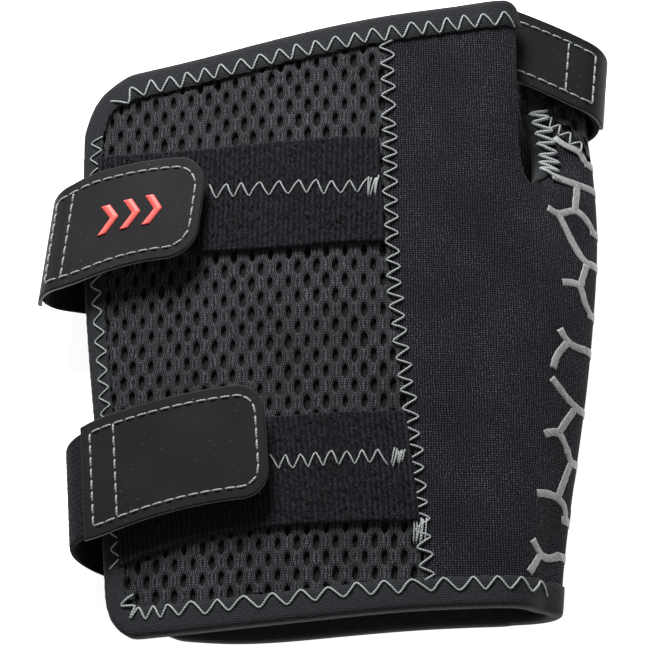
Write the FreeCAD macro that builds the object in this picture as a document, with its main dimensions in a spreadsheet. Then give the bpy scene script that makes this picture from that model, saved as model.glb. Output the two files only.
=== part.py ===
import FreeCAD, Part
import Sketcher
import math
import os

# Wrap-around wrist guard, lying on its back: palm side up, hand end towards +Y, thumb side towards +X.
# Origin: bottom centre of the closed guard. Sizes in millimetres.

V = FreeCAD.Vector
doc = FreeCAD.newDocument("wrist_guard")

# ---------------------------------------------------------------- driving dimensions
sheet = doc.addObject("Spreadsheet::Sheet", "Dimensions")
DRIVING = [
    ("panel_thickness", 2.6),
    ("tape_thickness", 0.6),
    ("tape_gap", 0.15),
    ("tape_width", 7.6),
    ("edge_tape_width", 6.6),
    ("loop_thickness", 1.2),
    ("flank_slope", 14.5),
    ("flank_height", 11.5),
    ("crown_height", 26.5),
    ("thread_width", 0.6),
    ("thread_height", 0.3),
    ("zigzag_pitch", 4.6),
    ("webbing_thickness", 1.4),
    ("tab_thickness", 1.0),
    ("hook_thickness", 1.0),
    ("strap_width", 25.0),
    ("fold_radius", 4.9),
    ("tab_corner", 6.0),
    ("stitch_inset", 2.7),
    ("hand_strap_width", 18.5),
    ("stay_width", 15.0),
    ("stay_thickness", 1.5),
    ("stay_length", 104.0),
    ("pocket_wall", 0.7),
    ("pocket_play", 0.4),
]
for row, (alias, value) in enumerate(DRIVING, start=1):
    sheet.set("A%d" % row, alias)
    sheet.set("B%d" % row, str(value))
    sheet.setAlias("B%d" % row, alias)
doc.recompute()


def dim(alias):
    return float(sheet.get(alias))


PANEL = dim("panel_thickness")
TAPE = dim("tape_thickness")
GAP = dim("tape_gap")
SKIN = TAPE + GAP
SLOPE = math.tan(math.radians(dim("flank_slope")))
SQUASH = 0.05                      # the binding under the back is pressed flat by this much
BACK_Z = SKIN - SQUASH             # underside of the back panel, standing on its binding
SPLIT_Z = 6.0                      # above it the palm layer, below it the back layer
SHIFT = V(-0.42, -3.77, 0)         # puts the origin under the middle of the guard
HIGH, LOW = 60.0, -10.0            # reach of the cutting prisms


# ---------------------------------------------------------------- the wrap
# Each station is a section across the guard: its Y, the ridge beside the thumb, the valley past it,
# then the fold of the thumb side (how far it reaches in X, its radius, the height of its centre).
STATIONS = [
    (-95, (46.0, 23.6), (49.0, 20.8), (55.6, 8.5, 10.5)),
    (-60, (48.0, 23.6), (51.4, 20.8), (58.4, 8.5, 10.4)),
    (-20, (52.0, 22.6), (56.4, 20.4), (64.6, 8.5, 10.2)),
    (8, (55.6, 20.8), (60.0, 18.8), (68.0, 8.0, 9.6)),
    (25, (55.8, 19.4), (60.4, 16.4), (69.2, 6.6, 8.2)),
    (45, (49.0, 22.0), (57.0, 15.0), (68.5, 5.6, 7.2)),
    (55, (48.8, 22.6), (56.2, 11.8), (67.6, 4.8, 7.0)),
    (64, (48.8, 22.8), (55.8, 11.4), (66.8, 4.7, 7.0)),
    (100, (48.6, 22.8), (55.4, 11.2), (65.4, 4.7, 6.9)),
]
FOLD_ANGLES = (65, 25, -25, -65)
FLAT_FROM_FOLD = 15.0              # the back layer lies flat again this far inside the fold
FLANK_LEFT = -64.0                 # the layers are made wide and trimmed to their outlines
BACK_LEFT = -58.0
FLANK_END = -16.0
CROWN = [(2.0, 25.9), (19.0, dim("crown_height")), (36.0, 25.6)]
SAMPLES = 40                       # points along a section that a layer's face is drawn through
FINE = 240                         # and points along it for placing threads and prints


def spline(points, start, end):
    """Spline through points, by length along them, leaving and arriving in the given directions."""
    lengths = [0.0]
    for a, b in zip(points, points[1:]):
        lengths.append(lengths[-1] + a.distanceToPoint(b))
    curve = Part.BSplineCurve()
    curve.interpolate(Points=points, Parameters=lengths, InitialTangent=V(start).normalize(),
                      FinalTangent=V(end).normalize(), Scale=False)
    return curve


def flank_z(x):
    return dim("flank_height") + SLOPE * (x + 60.0)


def outer_curve(station):
    """Outer face of one section, from the palm side's free edge to the flat of the back."""
    y = station[0]
    points = [V(FLANK_LEFT, y, flank_z(FLANK_LEFT)), V(-40.0, y, flank_z(-40.0))]
    points.append(V(FLANK_END, y, flank_z(FLANK_END)))
    points += [V(x, y, z) for x, z in CROWN]
    ridge, valley, (reach, radius, centre_z) = station[1:]
    points += [V(x, y, z) for x, z in (ridge, valley)]
    for angle in FOLD_ANGLES:
        a = math.radians(angle)
        points.append(V(reach - radius + radius * math.cos(a), y, centre_z + radius * math.sin(a)))
    points.append(V(reach - FLAT_FROM_FOLD, y, BACK_Z))
    return spline(points, V(1, 0, SLOPE), V(-1, 0, 0))


def offset_points(curve, distance):
    first, last = curve.FirstParameter, curve.LastParameter
    result = []
    for i in range(SAMPLES + 1):
        u = first + (last - first) * i / SAMPLES
        t = curve.tangent(u)[0]
        normal = V(-t.z, 0, t.x)
        result.append(curve.value(u) + normal * distance)
    return result


def wrap_band(low, high, back_left=BACK_LEFT, front_only=False):
    """Solid band that follows the whole wrap, between two offsets from its outer face."""
    wires = []
    for station in STATIONS:
        y = station[0]
        curve = outer_curve(station)
        start, end = V(1, 0, SLOPE), V(-1, 0, 0)
        upper, lower = offset_points(curve, high), offset_points(curve, low)
        edges = [spline(upper, start, end).toShape()]
        if front_only:
            edges.append(Part.makeLine(upper[-1], lower[-1]))
        else:
            far_out, far_in = V(back_left, y, upper[-1].z), V(back_left, y, lower[-1].z)
            edges.append(Part.makeLine(upper[-1], far_out))
            edges.append(Part.makeLine(far_out, far_in))
            edges.append(Part.makeLine(far_in, lower[-1]))
        edges.append(spline(list(reversed(lower)), end * -1, start * -1).toShape())
        edges.append(Part.makeLine(lower[0], upper[0]))
        wires.append(Part.Wire(edges))
    return Part.makeLoft(wires, True, True)


def sample_section(station):
    """Outer points of a section with their outward normals and their distance past the fold's apex."""
    curve = outer_curve(station)
    first, last = curve.FirstParameter, curve.LastParameter
    samples, run = [], 0.0
    for i in range(FINE + 1):
        u = first + (last - first) * i / FINE
        point, t = curve.value(u), curve.tangent(u)[0]
        if samples:
            run += point.distanceToPoint(samples[-1][1])
        samples.append((run, point, V(-t.z, 0, t.x)))
    apex = max(samples, key=lambda sample: sample[1].x)[0]
    return [(run - apex, point, normal) for run, point, normal in samples]


SECTIONS = [(station[0], sample_section(station)) for station in STATIONS]


def between(samples, key, value):
    """Point and normal where key, which grows along the samples, reaches value."""
    for a, b in zip(samples, samples[1:]):
        ka, kb = key(a), key(b)
        if ka <= value <= kb:
            share = (value - ka) / (kb - ka) if kb > ka else 0.0
            return a[1] + (b[1] - a[1]) * share, a[2] + (b[2] - a[2]) * share
    return samples[-1][1], samples[-1][2]


def on_wrap(y, key, value, palm_only):
    """Point of the outer face, and its outward normal, at Y and where key reaches value."""
    below = max((s for s in SECTIONS if s[0] <= y), key=lambda s: s[0])
    above = min((s for s in SECTIONS if s[0] > y), key=lambda s: s[0])
    found = []
    for _, samples in (below, above):
        if palm_only:
            samples = [sample for sample in samples if sample[0] <= 0]
        found.append(between(samples, key, value))
    share = (y - below[0]) / float(above[0] - below[0])
    point = found[0][0] + (found[1][0] - found[0][0]) * share
    normal = found[0][1] + (found[1][1] - found[0][1]) * share
    return point, normal.normalize()


def palm_point(x, y):
    return on_wrap(y, lambda sample: sample[1].x, x, True)


def fold_point(run, y):
    return on_wrap(y, lambda sample: sample[0], run, False)


def bar(a, b, width, height, up):
    """Small straight bar from a to b, standing on its lower face, with its height along up."""
    along = b - a
    length = along.Length
    x_axis = along.normalize()
    y_axis = up.cross(x_axis).normalize()
    z_axis = x_axis.cross(y_axis)
    box = Part.makeBox(length, width, height, V(0, -width / 2, 0))
    frame = FreeCAD.Matrix(x_axis.x, y_axis.x, z_axis.x, a.x, x_axis.y, y_axis.y, z_axis.y, a.y,
                           x_axis.z, y_axis.z, z_axis.z, a.z, 0, 0, 0, 1)
    box.Placement = FreeCAD.Placement(frame)
    return box


def prism(points, low=LOW, high=HIGH):
    wire = Part.makePolygon([V(x, y, low) for x, y in points] + [V(points[0][0], points[0][1], low)])
    return Part.Face(wire).extrude(V(0, 0, high - low))


def smooth_prism(sides, low=LOW, high=HIGH):
    """Vertical prism whose sides are splines through points; each side starts where the last ended."""
    edges = []
    for side in sides:
        points = [V(x, y, low) for x, y in side]
        if len(points) == 2:
            edges.append(Part.makeLine(points[0], points[1]))
        else:
            curve = Part.BSplineCurve()
            curve.interpolate(points)
            edges.append(curve.toShape())
    return Part.Face(Part.Wire(edges)).extrude(V(0, 0, high - low))


# ---------------------------------------------------------------- outlines in plan
FAR = 90.0
FRONT_EDGE = [(-53.4, -70.0), (-55.4, -44.0), (-60.0, 2.0), (-61.6, 30.0), (-61.8, 52.0)]
FRONT_TOP = [(-50.0, 67.7), (-32.0, 70.2), (16.6, 78.9), (49.0, 84.4)]
BOTTOM = [(-47.0, -79.7), (-32.7, -79.0), (1.2, -76.8), (25.0, -74.8), (56.8, -73.7)]
BACK_BOTTOM = [(-42.0, -79.2)] + BOTTOM[1:]
BACK_TOP = [(-45.0, 70.6), (-34.0, 72.5), (17.0, 84.0), (40.0, 86.6), (52.0, 84.0), (67.0, 77.0)]
BACK_EDGE = [(-47.5, -66.0), (-51.0, -40.0), (-54.0, 0.0), (-54.0, 50.0)]
SEAM = [(14.5, 90.0), (15.8, 62.0), (16.2, 35.0), (17.4, 2.0), (20.6, -25.0), (24.0, -62.0), (26.0, -95.0)]
BACK_SEAM_X = 30.0
THUMB_LEFT, THUMB_MID, THUMB_RIGHT = 49.0, 51.5, 54.8


def shrink(points, amount, middle):
    """Moves each point of an edge towards the middle of the guard."""
    moved = []
    for i, (x, y) in enumerate(points):
        a, b = points[max(i - 1, 0)], points[min(i + 1, len(points) - 1)]
        dx, dy = b[0] - a[0], b[1] - a[1]
        length = math.hypot(dx, dy)
        nx, ny = -dy / length, dx / length
        if (middle[0] - x) * nx + (middle[1] - y) * ny < 0:
            nx, ny = -nx, -ny
        moved.append((x + nx * amount, y + ny * amount))
    return moved


def corner(before, after):
    """Middle point of the rounded corner between two edges that stop at its ends."""
    (x1, y1), (x2, y2) = before, after
    round_x, round_y = (x1, y2) if abs(x1) > abs(x2) else (x2, y1)
    return ((x1 + x2 + 0.83 * round_x) / 2.83, (y1 + y2 + 0.83 * round_y) / 2.83)


def layer_outline(edge, top, bottom, inset):
    """Closed plan outline of a layer, moved inwards by inset; open sides run far past the fold."""
    middle = (0.0, 0.0)
    e = shrink(edge, inset, middle)
    t = shrink(top, inset, middle)
    b = shrink(bottom, inset, middle)
    sides = [e, [e[-1], corner(e[-1], t[0]), t[0]], t]
    sides.append([t[-1], (FAR, t[-1][1])])
    sides.append([(FAR, t[-1][1]), (FAR, b[-1][1])])
    sides.append([(FAR, b[-1][1]), b[-1]])
    sides.append(list(reversed(b)))
    sides.append([b[0], corner(b[0], e[0]), e[0]])
    return sides


def layer_prism(layer, inset):
    edge, top, bottom, low, high = layer
    return smooth_prism(layer_outline(edge, top, bottom, inset), low, high)


FRONT = (FRONT_EDGE, FRONT_TOP, BOTTOM, SPLIT_Z, HIGH)
BACK = (BACK_EDGE, BACK_TOP, BACK_BOTTOM, LOW, SPLIT_Z)
SIDE = (BACK_EDGE, BACK_TOP, BACK_BOTTOM, LOW, HIGH)


def add_feature(name, shape):
    """A sub-part whose shape comes from Part's own functions."""
    if shape.ShapeType == "Compound" and len(shape.Solids) == 1:
        shape = shape.Solids[0]
    part = doc.addObject("Part::Feature", name)
    part.Label = name
    part.Shape = shape
    part.Placement = FreeCAD.Placement(SHIFT, FreeCAD.Rotation()).multiply(shape.Placement)
    return part


parts = []

# ---------------------------------------------------------------- panels
band = wrap_band(-PANEL, 0.0)
front_outline = layer_prism(FRONT, SKIN)
back_outline = layer_prism(BACK, SKIN)
side_outline = layer_prism(SIDE, SKIN)
left_of_seam = smooth_prism([SEAM, [SEAM[-1], (-FAR, -95.0)], [(-FAR, -95.0), (-FAR, 90.0)],
                             [(-FAR, 90.0), SEAM[0]]])
left_of_back_seam = prism([(-FAR, -100), (BACK_SEAM_X, -100), (BACK_SEAM_X, 100), (-FAR, 100)])
right_of_thumb = prism([(THUMB_MID, -100), (FAR, -100), (FAR, 100), (THUMB_MID, 100)])

# The thumb hole opens to the hand end between the palm layer's fold and the thumb side.
THUMB_RIM = [(57.4, 41.0), (57.4, 46.0), (56.2, 55.0), (THUMB_RIGHT, 64.0), (THUMB_RIGHT, 110.0)]
thumb_hole = prism([(THUMB_LEFT, 110.0), (THUMB_LEFT, 46.0), (51.0, 40.2), (54.2, 38.2)] + THUMB_RIM,
                   SPLIT_Z, HIGH)

knit_outline = front_outline.cut(left_of_seam).cut(right_of_thumb)
knit_outline = knit_outline.fuse(back_outline.cut(left_of_back_seam).cut(right_of_thumb))
knit_outline = knit_outline.fuse(side_outline.common(right_of_thumb)).removeSplitter()
parts.append(add_feature("front_mesh_panel", band.common(front_outline.common(left_of_seam))))
parts.append(add_feature("side_knit_panel", band.common(knit_outline).cut(thumb_hole)))
parts.append(add_feature("back_mesh_panel", band.common(back_outline.common(left_of_back_seam))))

# ---------------------------------------------------------------- binding tape, folded over every raw edge
tape_outer = wrap_band(-PANEL - SKIN, SKIN, BACK_LEFT)
tape_inner = wrap_band(-PANEL - GAP, GAP, BACK_LEFT)
END_INSET, EDGE_INSET = dim("tape_width"), dim("edge_tape_width")
FOLD_X = 56.0                      # where the end bindings pass from the palm layer to the back layer


ABOVE_GROUND = prism([(-FAR, -FAR), (FAR, -FAR), (FAR, FAR + 20), (-FAR, FAR + 20)], 0.0, HIGH)


def tape(layer, region):
    """Folded tape round the rim of a layer, inside the given plan region."""
    sleeve = tape_outer.common(layer_prism(layer, 0.0).common(region))
    return sleeve.cut(tape_inner.common(layer_prism(layer, SKIN - GAP))).common(ABOVE_GROUND)


def rim_region(points, width, high_side):
    """Plan strip of the given width along an edge, on the side away from high_side."""
    inner = shrink(points, width, (0.0, 0.0))
    return smooth_prism([inner, [inner[-1], (inner[-1][0], high_side)],
                         [(inner[-1][0], high_side), (inner[0][0], high_side)],
                         [(inner[0][0], high_side), inner[0]]])


def side_tape(region):
    """Folded tape round the rim of the back layer and of the fold that rises from it."""
    outer = layer_prism(BACK, 0.0).cut(right_of_thumb).fuse(layer_prism(SIDE, 0.0).common(right_of_thumb))
    inner = layer_prism(BACK, SKIN - GAP).cut(right_of_thumb)
    inner = inner.fuse(layer_prism(SIDE, SKIN - GAP).common(right_of_thumb))
    return tape_outer.common(outer.common(region)).cut(tape_inner.common(inner)).common(ABOVE_GROUND)


HAND_END = [(-66.0, 63.0), (-57.0, 64.6), (-50.0, 67.7)] + FRONT_TOP[1:-1] + [(50.0, 84.6)]
FOREARM_END = [(-60.0, -76.0), (-42.0, -79.2)] + BOTTOM[1:-1] + [(75.0, -73.2)]
BACK_HAND_END = [(-60.0, 63.0), (-45.0, 70.6)] + BACK_TOP[1:] + [(75.0, 72.6)]

hand_front = rim_region(HAND_END, END_INSET, 100.0)
hand_back = rim_region(BACK_HAND_END, END_INSET, 100.0)
forearm = rim_region(FOREARM_END, END_INSET, -100.0)
hand_layer = tape(FRONT, hand_front).cut(thumb_hole).cut(right_of_thumb)
parts.append(add_feature("hand_end_binding_front", hand_layer))
parts.append(add_feature("hand_end_binding_back", side_tape(hand_back).cut(thumb_hole)))
palm_half = prism([(-FAR, -100), (FOLD_X, -100), (FOLD_X, 100), (-FAR, 100)], SPLIT_Z, HIGH)
parts.append(add_feature("forearm_end_binding_front", tape(FRONT, forearm.common(palm_half))))
parts.append(add_feature("forearm_end_binding_back", side_tape(forearm.cut(palm_half))))


def edge_region(edge, ends):
    """Plan strip along a side edge, stopping short of the end bindings."""
    inner = shrink(edge, EDGE_INSET, (0.0, 0.0))
    low, high = (inner[0][0] - 2.0, -95.0), (inner[-1][0] + 4.0, 95.0)
    strip = smooth_prism([[low, inner[0]], inner, [inner[-1], high], [high, (-FAR, 95.0)],
                          [(-FAR, 95.0), (-FAR, -95.0)], [(-FAR, -95.0), low]])
    for end in ends:
        strip = strip.cut(end)
    return strip


parts.append(add_feature("front_edge_binding", tape(FRONT, edge_region(FRONT_EDGE, [hand_front, forearm]))))
parts.append(add_feature("back_edge_binding", tape(BACK, edge_region(BACK_EDGE, [hand_back, forearm]))))

THUMB_TAPE = 5.0
THUMB_TAPE_END = 75.0


def thumb_strip(reach_in):
    rim = THUMB_RIM[:-1] + [(THUMB_RIGHT, THUMB_TAPE_END)]
    left = [(x - reach_in, y) for x, y in rim]
    right = [(x + THUMB_TAPE, y) for x, y in reversed(rim)]
    return prism(left + right, SPLIT_Z, HIGH)


thumb_tape = tape_outer.common(thumb_strip(SKIN)).cut(tape_inner.common(thumb_strip(GAP))).cut(hand_back)
parts.append(add_feature("thumb_hole_binding", thumb_tape))

# ---------------------------------------------------------------- loop strips sewn over the mesh
loop_band = wrap_band(0.05, dim("loop_thickness"), front_only=True)
UPPER_LOOP = [(-52.0, 17.4), (14.2, 17.4), (13.2, 44.8), (-52.0, 44.8)]
LOWER_LOOP = [(17.9, -26.0), (20.3, -53.4), (-10.8, -53.9), (-30.0, -55.4), (-46.0, -60.0),
              (-48.0, -44.0), (-49.0, -27.0)]
parts.append(add_feature("upper_loop_strip", loop_band.common(prism(UPPER_LOOP))))
parts.append(add_feature("lower_loop_strip", loop_band.common(prism(LOWER_LOOP))))

# ---------------------------------------------------------------- sewn threads on the palm side
THREAD, THREAD_HEIGHT = dim("thread_width"), dim("thread_height")
PITCH = dim("zigzag_pitch")
THREAD_CLEAR = 0.06                # a thread lies this far off the face under it


def lying_bar(find, start, end, width, height, lift):
    """Straight bar between two places on the wrap, clear of the face's bulge under it.

    find turns two coordinates into a point of the face and its normal.
    """
    def mix(share, aside=0.0):
        along = [end[k] - start[k] for k in (0, 1)]
        length = math.hypot(*along)
        return find(start[0] + along[0] * share - along[1] / length * aside,
                    start[1] + along[1] * share + along[0] / length * aside)

    (a, _), (b, _), (_, normal) = mix(0.0), mix(1.0), mix(0.5)
    bulge = 0.0
    for share in (0.0, 0.25, 0.5, 0.75, 1.0):
        for aside in (-width / 2, 0.0, width / 2):
            bulge = max(bulge, (mix(share, aside)[0] - a - (b - a) * share).dot(normal))
    up = normal * (lift + bulge + THREAD_CLEAR)
    return bar(a + up, b + up, width, height, normal)


def zigzag(line, width, lift, pitch=PITCH):
    """Thread that crosses a plan line back and forth, lying on the palm side's outer face."""
    corners, side = [], 1
    for (x1, y1), (x2, y2) in zip(line, line[1:]):
        length = math.hypot(x2 - x1, y2 - y1)
        steps = max(1, int(round(length / (pitch / 2))))
        for i in range(steps):
            share = (i + 0.5) / steps
            x = x1 + (x2 - x1) * share - (y2 - y1) / length * side * width / 2
            y = y1 + (y2 - y1) * share + (x2 - x1) / length * side * width / 2
            corners.append((x, y))
            side = -side
    return [lying_bar(palm_point, start, end, THREAD, THREAD_HEIGHT, lift)
            for start, end in zip(corners, corners[1:])]


def inset_line(points, amount):
    return shrink(points, amount, (0.0, 0.0))


def upto(points, x_end):
    """The part of a line, drawn from left to right, that lies left of x_end."""
    kept = [p for p in points if p[0] < x_end]
    (x1, y1), (x2, y2) = kept[-1], points[len(kept)]
    return kept + [(x_end, y1 + (y2 - y1) * (x_end - x1) / (x2 - x1))]


seam_line = [(15.7, 67.6)] + [(x, y) for x, y in SEAM if -64 < y < 64] + [(24.3, -65.6)]
SEAM_ZIGZAG, TOP_ZIGZAG, EDGE_ZIGZAG, BOTTOM_ZIGZAG = 4.2, 4.4, 3.0, 3.8
THREADS_END = 46.0                 # the end bindings' zigzags stop at the ridge beside the thumb
seam_bars = zigzag(seam_line, SEAM_ZIGZAG, 0.0)
parts.append(add_feature("panel_seam_stitching", Part.makeCompound(seam_bars)))
tape_bars = zigzag(upto(inset_line(FRONT_TOP, 5.2), THREADS_END), TOP_ZIGZAG, SKIN, 5.1)
tape_bars += zigzag(inset_line([p for p in FRONT_EDGE if -60 < p[1] < 40], 3.6), EDGE_ZIGZAG, SKIN, 5.0)
tape_bars += zigzag(upto(inset_line(BOTTOM, 6.2), THREADS_END), BOTTOM_ZIGZAG, SKIN, 6.9)
parts.append(add_feature("binding_stitching", Part.makeCompound(tape_bars)))
LOOP = dim("loop_thickness")
strip_bars = zigzag([(-27.0, 32.6), (10.8, 31.6)], SEAM_ZIGZAG, LOOP, 4.5)
strip_bars += zigzag([(-11.0, -38.4), (16.0, -37.8)], SEAM_ZIGZAG, LOOP, 3.9)
parts.append(add_feature("loop_strip_stitching", Part.makeCompound(strip_bars)))


TACK_THREAD, TACK_PITCH = 0.5, 0.8


def bar_tack(x, y, length, width, lift):
    """Block of close stitches: short threads side by side."""
    rows, bars = int(length / TACK_PITCH), []
    for i in range(rows):
        row_x = x - length / 2 + length * (i + 0.5) / rows
        bars.append(lying_bar(palm_point, (row_x, y - width / 2), (row_x, y + width / 2), TACK_THREAD,
                              THREAD_HEIGHT, lift))
    return bars


tacks = bar_tack(12.0, 31.6, 2.6, 5.2, LOOP) + bar_tack(17.6, -37.8, 3.2, 4.2, LOOP)
tacks += bar_tack(22.4, -57.2, 3.6, 6.4, THREAD_HEIGHT + 3 * THREAD_CLEAR)
parts.append(add_feature("bar_tacks", Part.makeCompound(tacks)))

# ---------------------------------------------------------------- honeycomb print round the thumb side
# Walls of the cells as lines of (millimetres past the fold's outermost line, Y), on the palm side of the fold.
PRINT_LINES = [
    [(-12.4, 51.0), (-9.4, 48.5), (-6.5, 47.0), (-5.1, 44.0)],
    [(-15.4, 39.0), (-8.7, 37.5), (-5.2, 37.0)],
    [(-8.7, 37.5), (-9.8, 30.0)],
    [(-18.1, 29.5), (-14.8, 28.5), (-9.8, 30.0), (-6.6, 28.0), (-4.2, 25.0)],
    [(-14.8, 28.5), (-11.8, 22.5), (-6.7, 16.0), (-3.0, 16.0)],
    [(-6.7, 15.5), (-8.5, 9.0)],
    [(-13.8, 9.5), (-8.5, 9.0), (-6.7, 5.5), (-4.1, 2.5)],
    [(-14.2, -3.0), (-11.2, -6.0), (-5.4, -7.0)],
    [(-11.2, -6.0), (-14.7, -11.5), (-14.7, -13.5)],
    [(-15.2, -16.0), (-6.3, -22.0), (-5.1, -22.5)],
    [(-6.3, -22.2), (-10.8, -29.5)],
    [(-15.3, -30.5), (-10.8, -29.5), (-7.5, -32.5), (-5.1, -36.0)],
    [(-5.1, -36.0), (-7.7, -45.5)],
    [(-15.0, -45.5), (-7.7, -45.5), (-5.0, -47.5), (-4.0, -50.5)],
    [(-15.4, -57.0), (-12.0, -60.0), (-8.2, -60.5), (-5.2, -59.5)],
    [(-12.0, -60.2), (-14.9, -64.2)],
]
CROSSING_Y = (44.0, 37.0, 25.0, 16.0, 2.5, -7.0, -22.5, -36.0, -50.5, -59.5)
CROSSING_RUNS = (-6.0, 2.0)
MIRROR_RUN = -2.0                  # the cells repeat on the back of the fold, mirrored about this line
PRINT_WIDTH, PRINT_HEIGHT = 1.6, 0.3
PRINT_STEP = 3.2                   # straight pieces that a cell's wall bends round the fold in
TAPE_Y, TAPE_X = 40.0, 63.2        # the print stops short of the thumb hole's tape

lines = PRINT_LINES + [[(CROSSING_RUNS[0], y), (CROSSING_RUNS[1], y)] for y in CROSSING_Y]
lines += [[(2 * MIRROR_RUN - run, y) for run, y in line] for line in PRINT_LINES]
honeycomb = []
for line in lines:
    for (run_a, y_a), (run_b, y_b) in zip(line, line[1:]):
        count = int(math.ceil(math.hypot(run_b - run_a, y_b - y_a) / PRINT_STEP))
        for k in range(count):
            ends = []
            for share in (k / float(count), (k + 1) / float(count)):
                ends.append((run_a + (run_b - run_a) * share, y_a + (y_b - y_a) * share))
            if any(y > TAPE_Y and abs(run) > 6 and fold_point(run, y)[0].x < TAPE_X for run, y in ends):
                continue
            honeycomb.append(lying_bar(fold_point, ends[0], ends[1], PRINT_WIDTH, PRINT_HEIGHT, 0.0))
parts.append(add_feature("honeycomb_print", Part.makeCompound(honeycomb)))

# ---------------------------------------------------------------- straps
WEB = dim("webbing_thickness")
TAB = dim("tab_thickness")
HOOK = dim("hook_thickness")
UP = V(0, 0, 1)
ARC_STEPS = 4


class Fold:
    """Strap folded back over itself: a flat leg below, half a turn, and a leg rising above."""

    def __init__(self, apex, heading, inward, low_z, radius, slope, lean, base_lean, width):
        f = math.radians(heading)
        self.f = V(math.cos(f), math.sin(f), 0)
        self.p = self.f.cross(UP) * inward
        self.radius, self.slope = radius, math.radians(slope)
        self.lean, self.base_lean = math.tan(math.radians(lean)), math.tan(math.radians(base_lean))
        self.width = width / math.cos(math.radians(lean))
        self.apex = V(apex[0], apex[1], low_z + radius)
        self.u = self.p * math.cos(self.slope) + UP * math.sin(self.slope)
        self.n = UP * math.cos(self.slope) - self.p * math.sin(self.slope)
        self.half_turn = radius * (math.pi / 2 - self.slope)

    def section(self, run):
        """Closed rectangle across the webbing, run millimetres past the apex along the strap."""
        centre = self.apex + self.p * self.radius
        quarter = self.radius * math.pi / 2
        if run > self.half_turn:
            mid = centre + self.n * self.radius + self.u * (run - self.half_turn)
            normal = self.n
        elif run < -quarter:
            mid = centre - UP * self.radius + self.p * (-quarter - run)
            normal = UP * -1
        else:
            a = run / self.radius
            normal = UP * math.sin(a) - self.p * math.cos(a)
            mid = centre + normal * self.radius
        mid = mid + self.f * (run * (self.lean if run > 0 else self.base_lean))
        out, side = normal * (WEB / 2), self.f * (self.width / 2)
        points = [mid + out - side, mid + out + side, mid - out + side, mid - out - side]
        return Part.makePolygon(points + [points[0]])

    def webbing(self, runs):
        return Part.makeLoft([self.section(run) for run in runs], True, True)

    def leg_frame(self, run, height):
        """Placement on the rising leg: X along the strap, Z away from the wrist."""
        lean = math.atan(self.lean)
        x_axis = self.u * math.cos(lean) + self.f * math.sin(lean)
        y_axis = self.n.cross(x_axis)
        origin = self.apex + self.p * self.radius + self.n * (self.radius + height)
        origin = origin + self.u * (run - self.half_turn) + self.f * (run * self.lean)
        return FreeCAD.Placement(FreeCAD.Matrix(
            x_axis.x, y_axis.x, self.n.x, origin.x, x_axis.y, y_axis.y, self.n.y, origin.y,
            x_axis.z, y_axis.z, self.n.z, origin.z, 0, 0, 0, 1))

    def hinge(self):
        return self.apex - self.p * (WEB / 2) + SHIFT, self.p.cross(UP)


def plate(name, length, width, thickness, corner_alias, placement):
    """Flat pad with two rounded corners at its far end, drawn lengthwise along X."""
    body = doc.addObject("PartDesign::Body", name)
    body.Label = name
    sketch = body.newObject("Sketcher::SketchObject", name + "_outline")
    plane = [o for o in body.Origin.OriginFeatures if o.Role == "XY_Plane"][0]
    sketch.AttachmentSupport = [(plane, "")]
    sketch.MapMode = "FlatFace"
    half = width / 2
    points = [V(0, -half, 0), V(length, -half, 0), V(length, half, 0), V(0, half, 0)]
    for i in range(4):
        sketch.addGeometry(Part.LineSegment(points[i], points[(i + 1) % 4]), False)
    for i in range(4):
        sketch.addConstraint(Sketcher.Constraint("Coincident", i, 2, (i + 1) % 4, 1))
    for i in (0, 2):
        sketch.addConstraint(Sketcher.Constraint("Horizontal", i))
    for i in (1, 3):
        sketch.addConstraint(Sketcher.Constraint("Vertical", i))
    sketch.addConstraint(Sketcher.Constraint("DistanceX", 0, 1, 0, 2, length))
    sketch.addConstraint(Sketcher.Constraint("DistanceY", 1, 1, 1, 2, width))
    sketch.addConstraint(Sketcher.Constraint("DistanceX", -1, 1, 0, 1, 0.0))
    sketch.addConstraint(Sketcher.Constraint("DistanceY", 0, 1, -1, 1, half))
    pad = body.newObject("PartDesign::Pad", name + "_pad")
    pad.Profile = sketch
    pad.setExpression("Length", "Dimensions." + thickness)
    doc.recompute()
    if corner_alias:
        corners = body.newObject("PartDesign::Fillet", name + "_corners")
        edges = []
        for i, edge in enumerate(pad.Shape.Edges, start=1):
            ends = [v.Point for v in edge.Vertexes]
            if all(abs(e.x - length) < 1e-6 for e in ends) and abs(ends[0].z - ends[1].z) > 1e-6:
                edges.append("Edge%d" % i)
        corners.Base = (pad, edges)
        corners.setExpression("Radius", "Dimensions." + corner_alias)
    doc.recompute()
    body.Placement = placement
    return body


STITCH_PITCH, STITCH_LENGTH, STITCH_WIDTH = 3.3, 2.3, 0.5


def running_stitch(start, end, height, placement):
    """Row of separate stitches between two points of a pad's own plan."""
    length = math.hypot(end[0] - start[0], end[1] - start[1])
    count = max(2, int(round(length / STITCH_PITCH)))
    ux, uy = (end[0] - start[0]) / length, (end[1] - start[1]) / length
    bars = []
    for i in range(count):
        low, high = (length * (i + 0.5) / count + side * STITCH_LENGTH / 2 for side in (-1, 1))
        a = V(start[0] + ux * low, start[1] + uy * low, height)
        b = V(start[0] + ux * high, start[1] + uy * high, height)
        bars.append(bar(a, b, STITCH_WIDTH, THREAD_HEIGHT, UP))
    rows = Part.makeCompound(bars)
    rows.Placement = placement
    return rows


hinges = {}
TIP_INSET = 2.0                    # the webbing ends this far inside the tab's far end
HOOK_FROM = 0.35                   # share of the tab's length where the hook pad starts
HOOK_END, HOOK_NARROWER = 3.0, 5.0
STITCH_CORNER = 3.0


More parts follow.
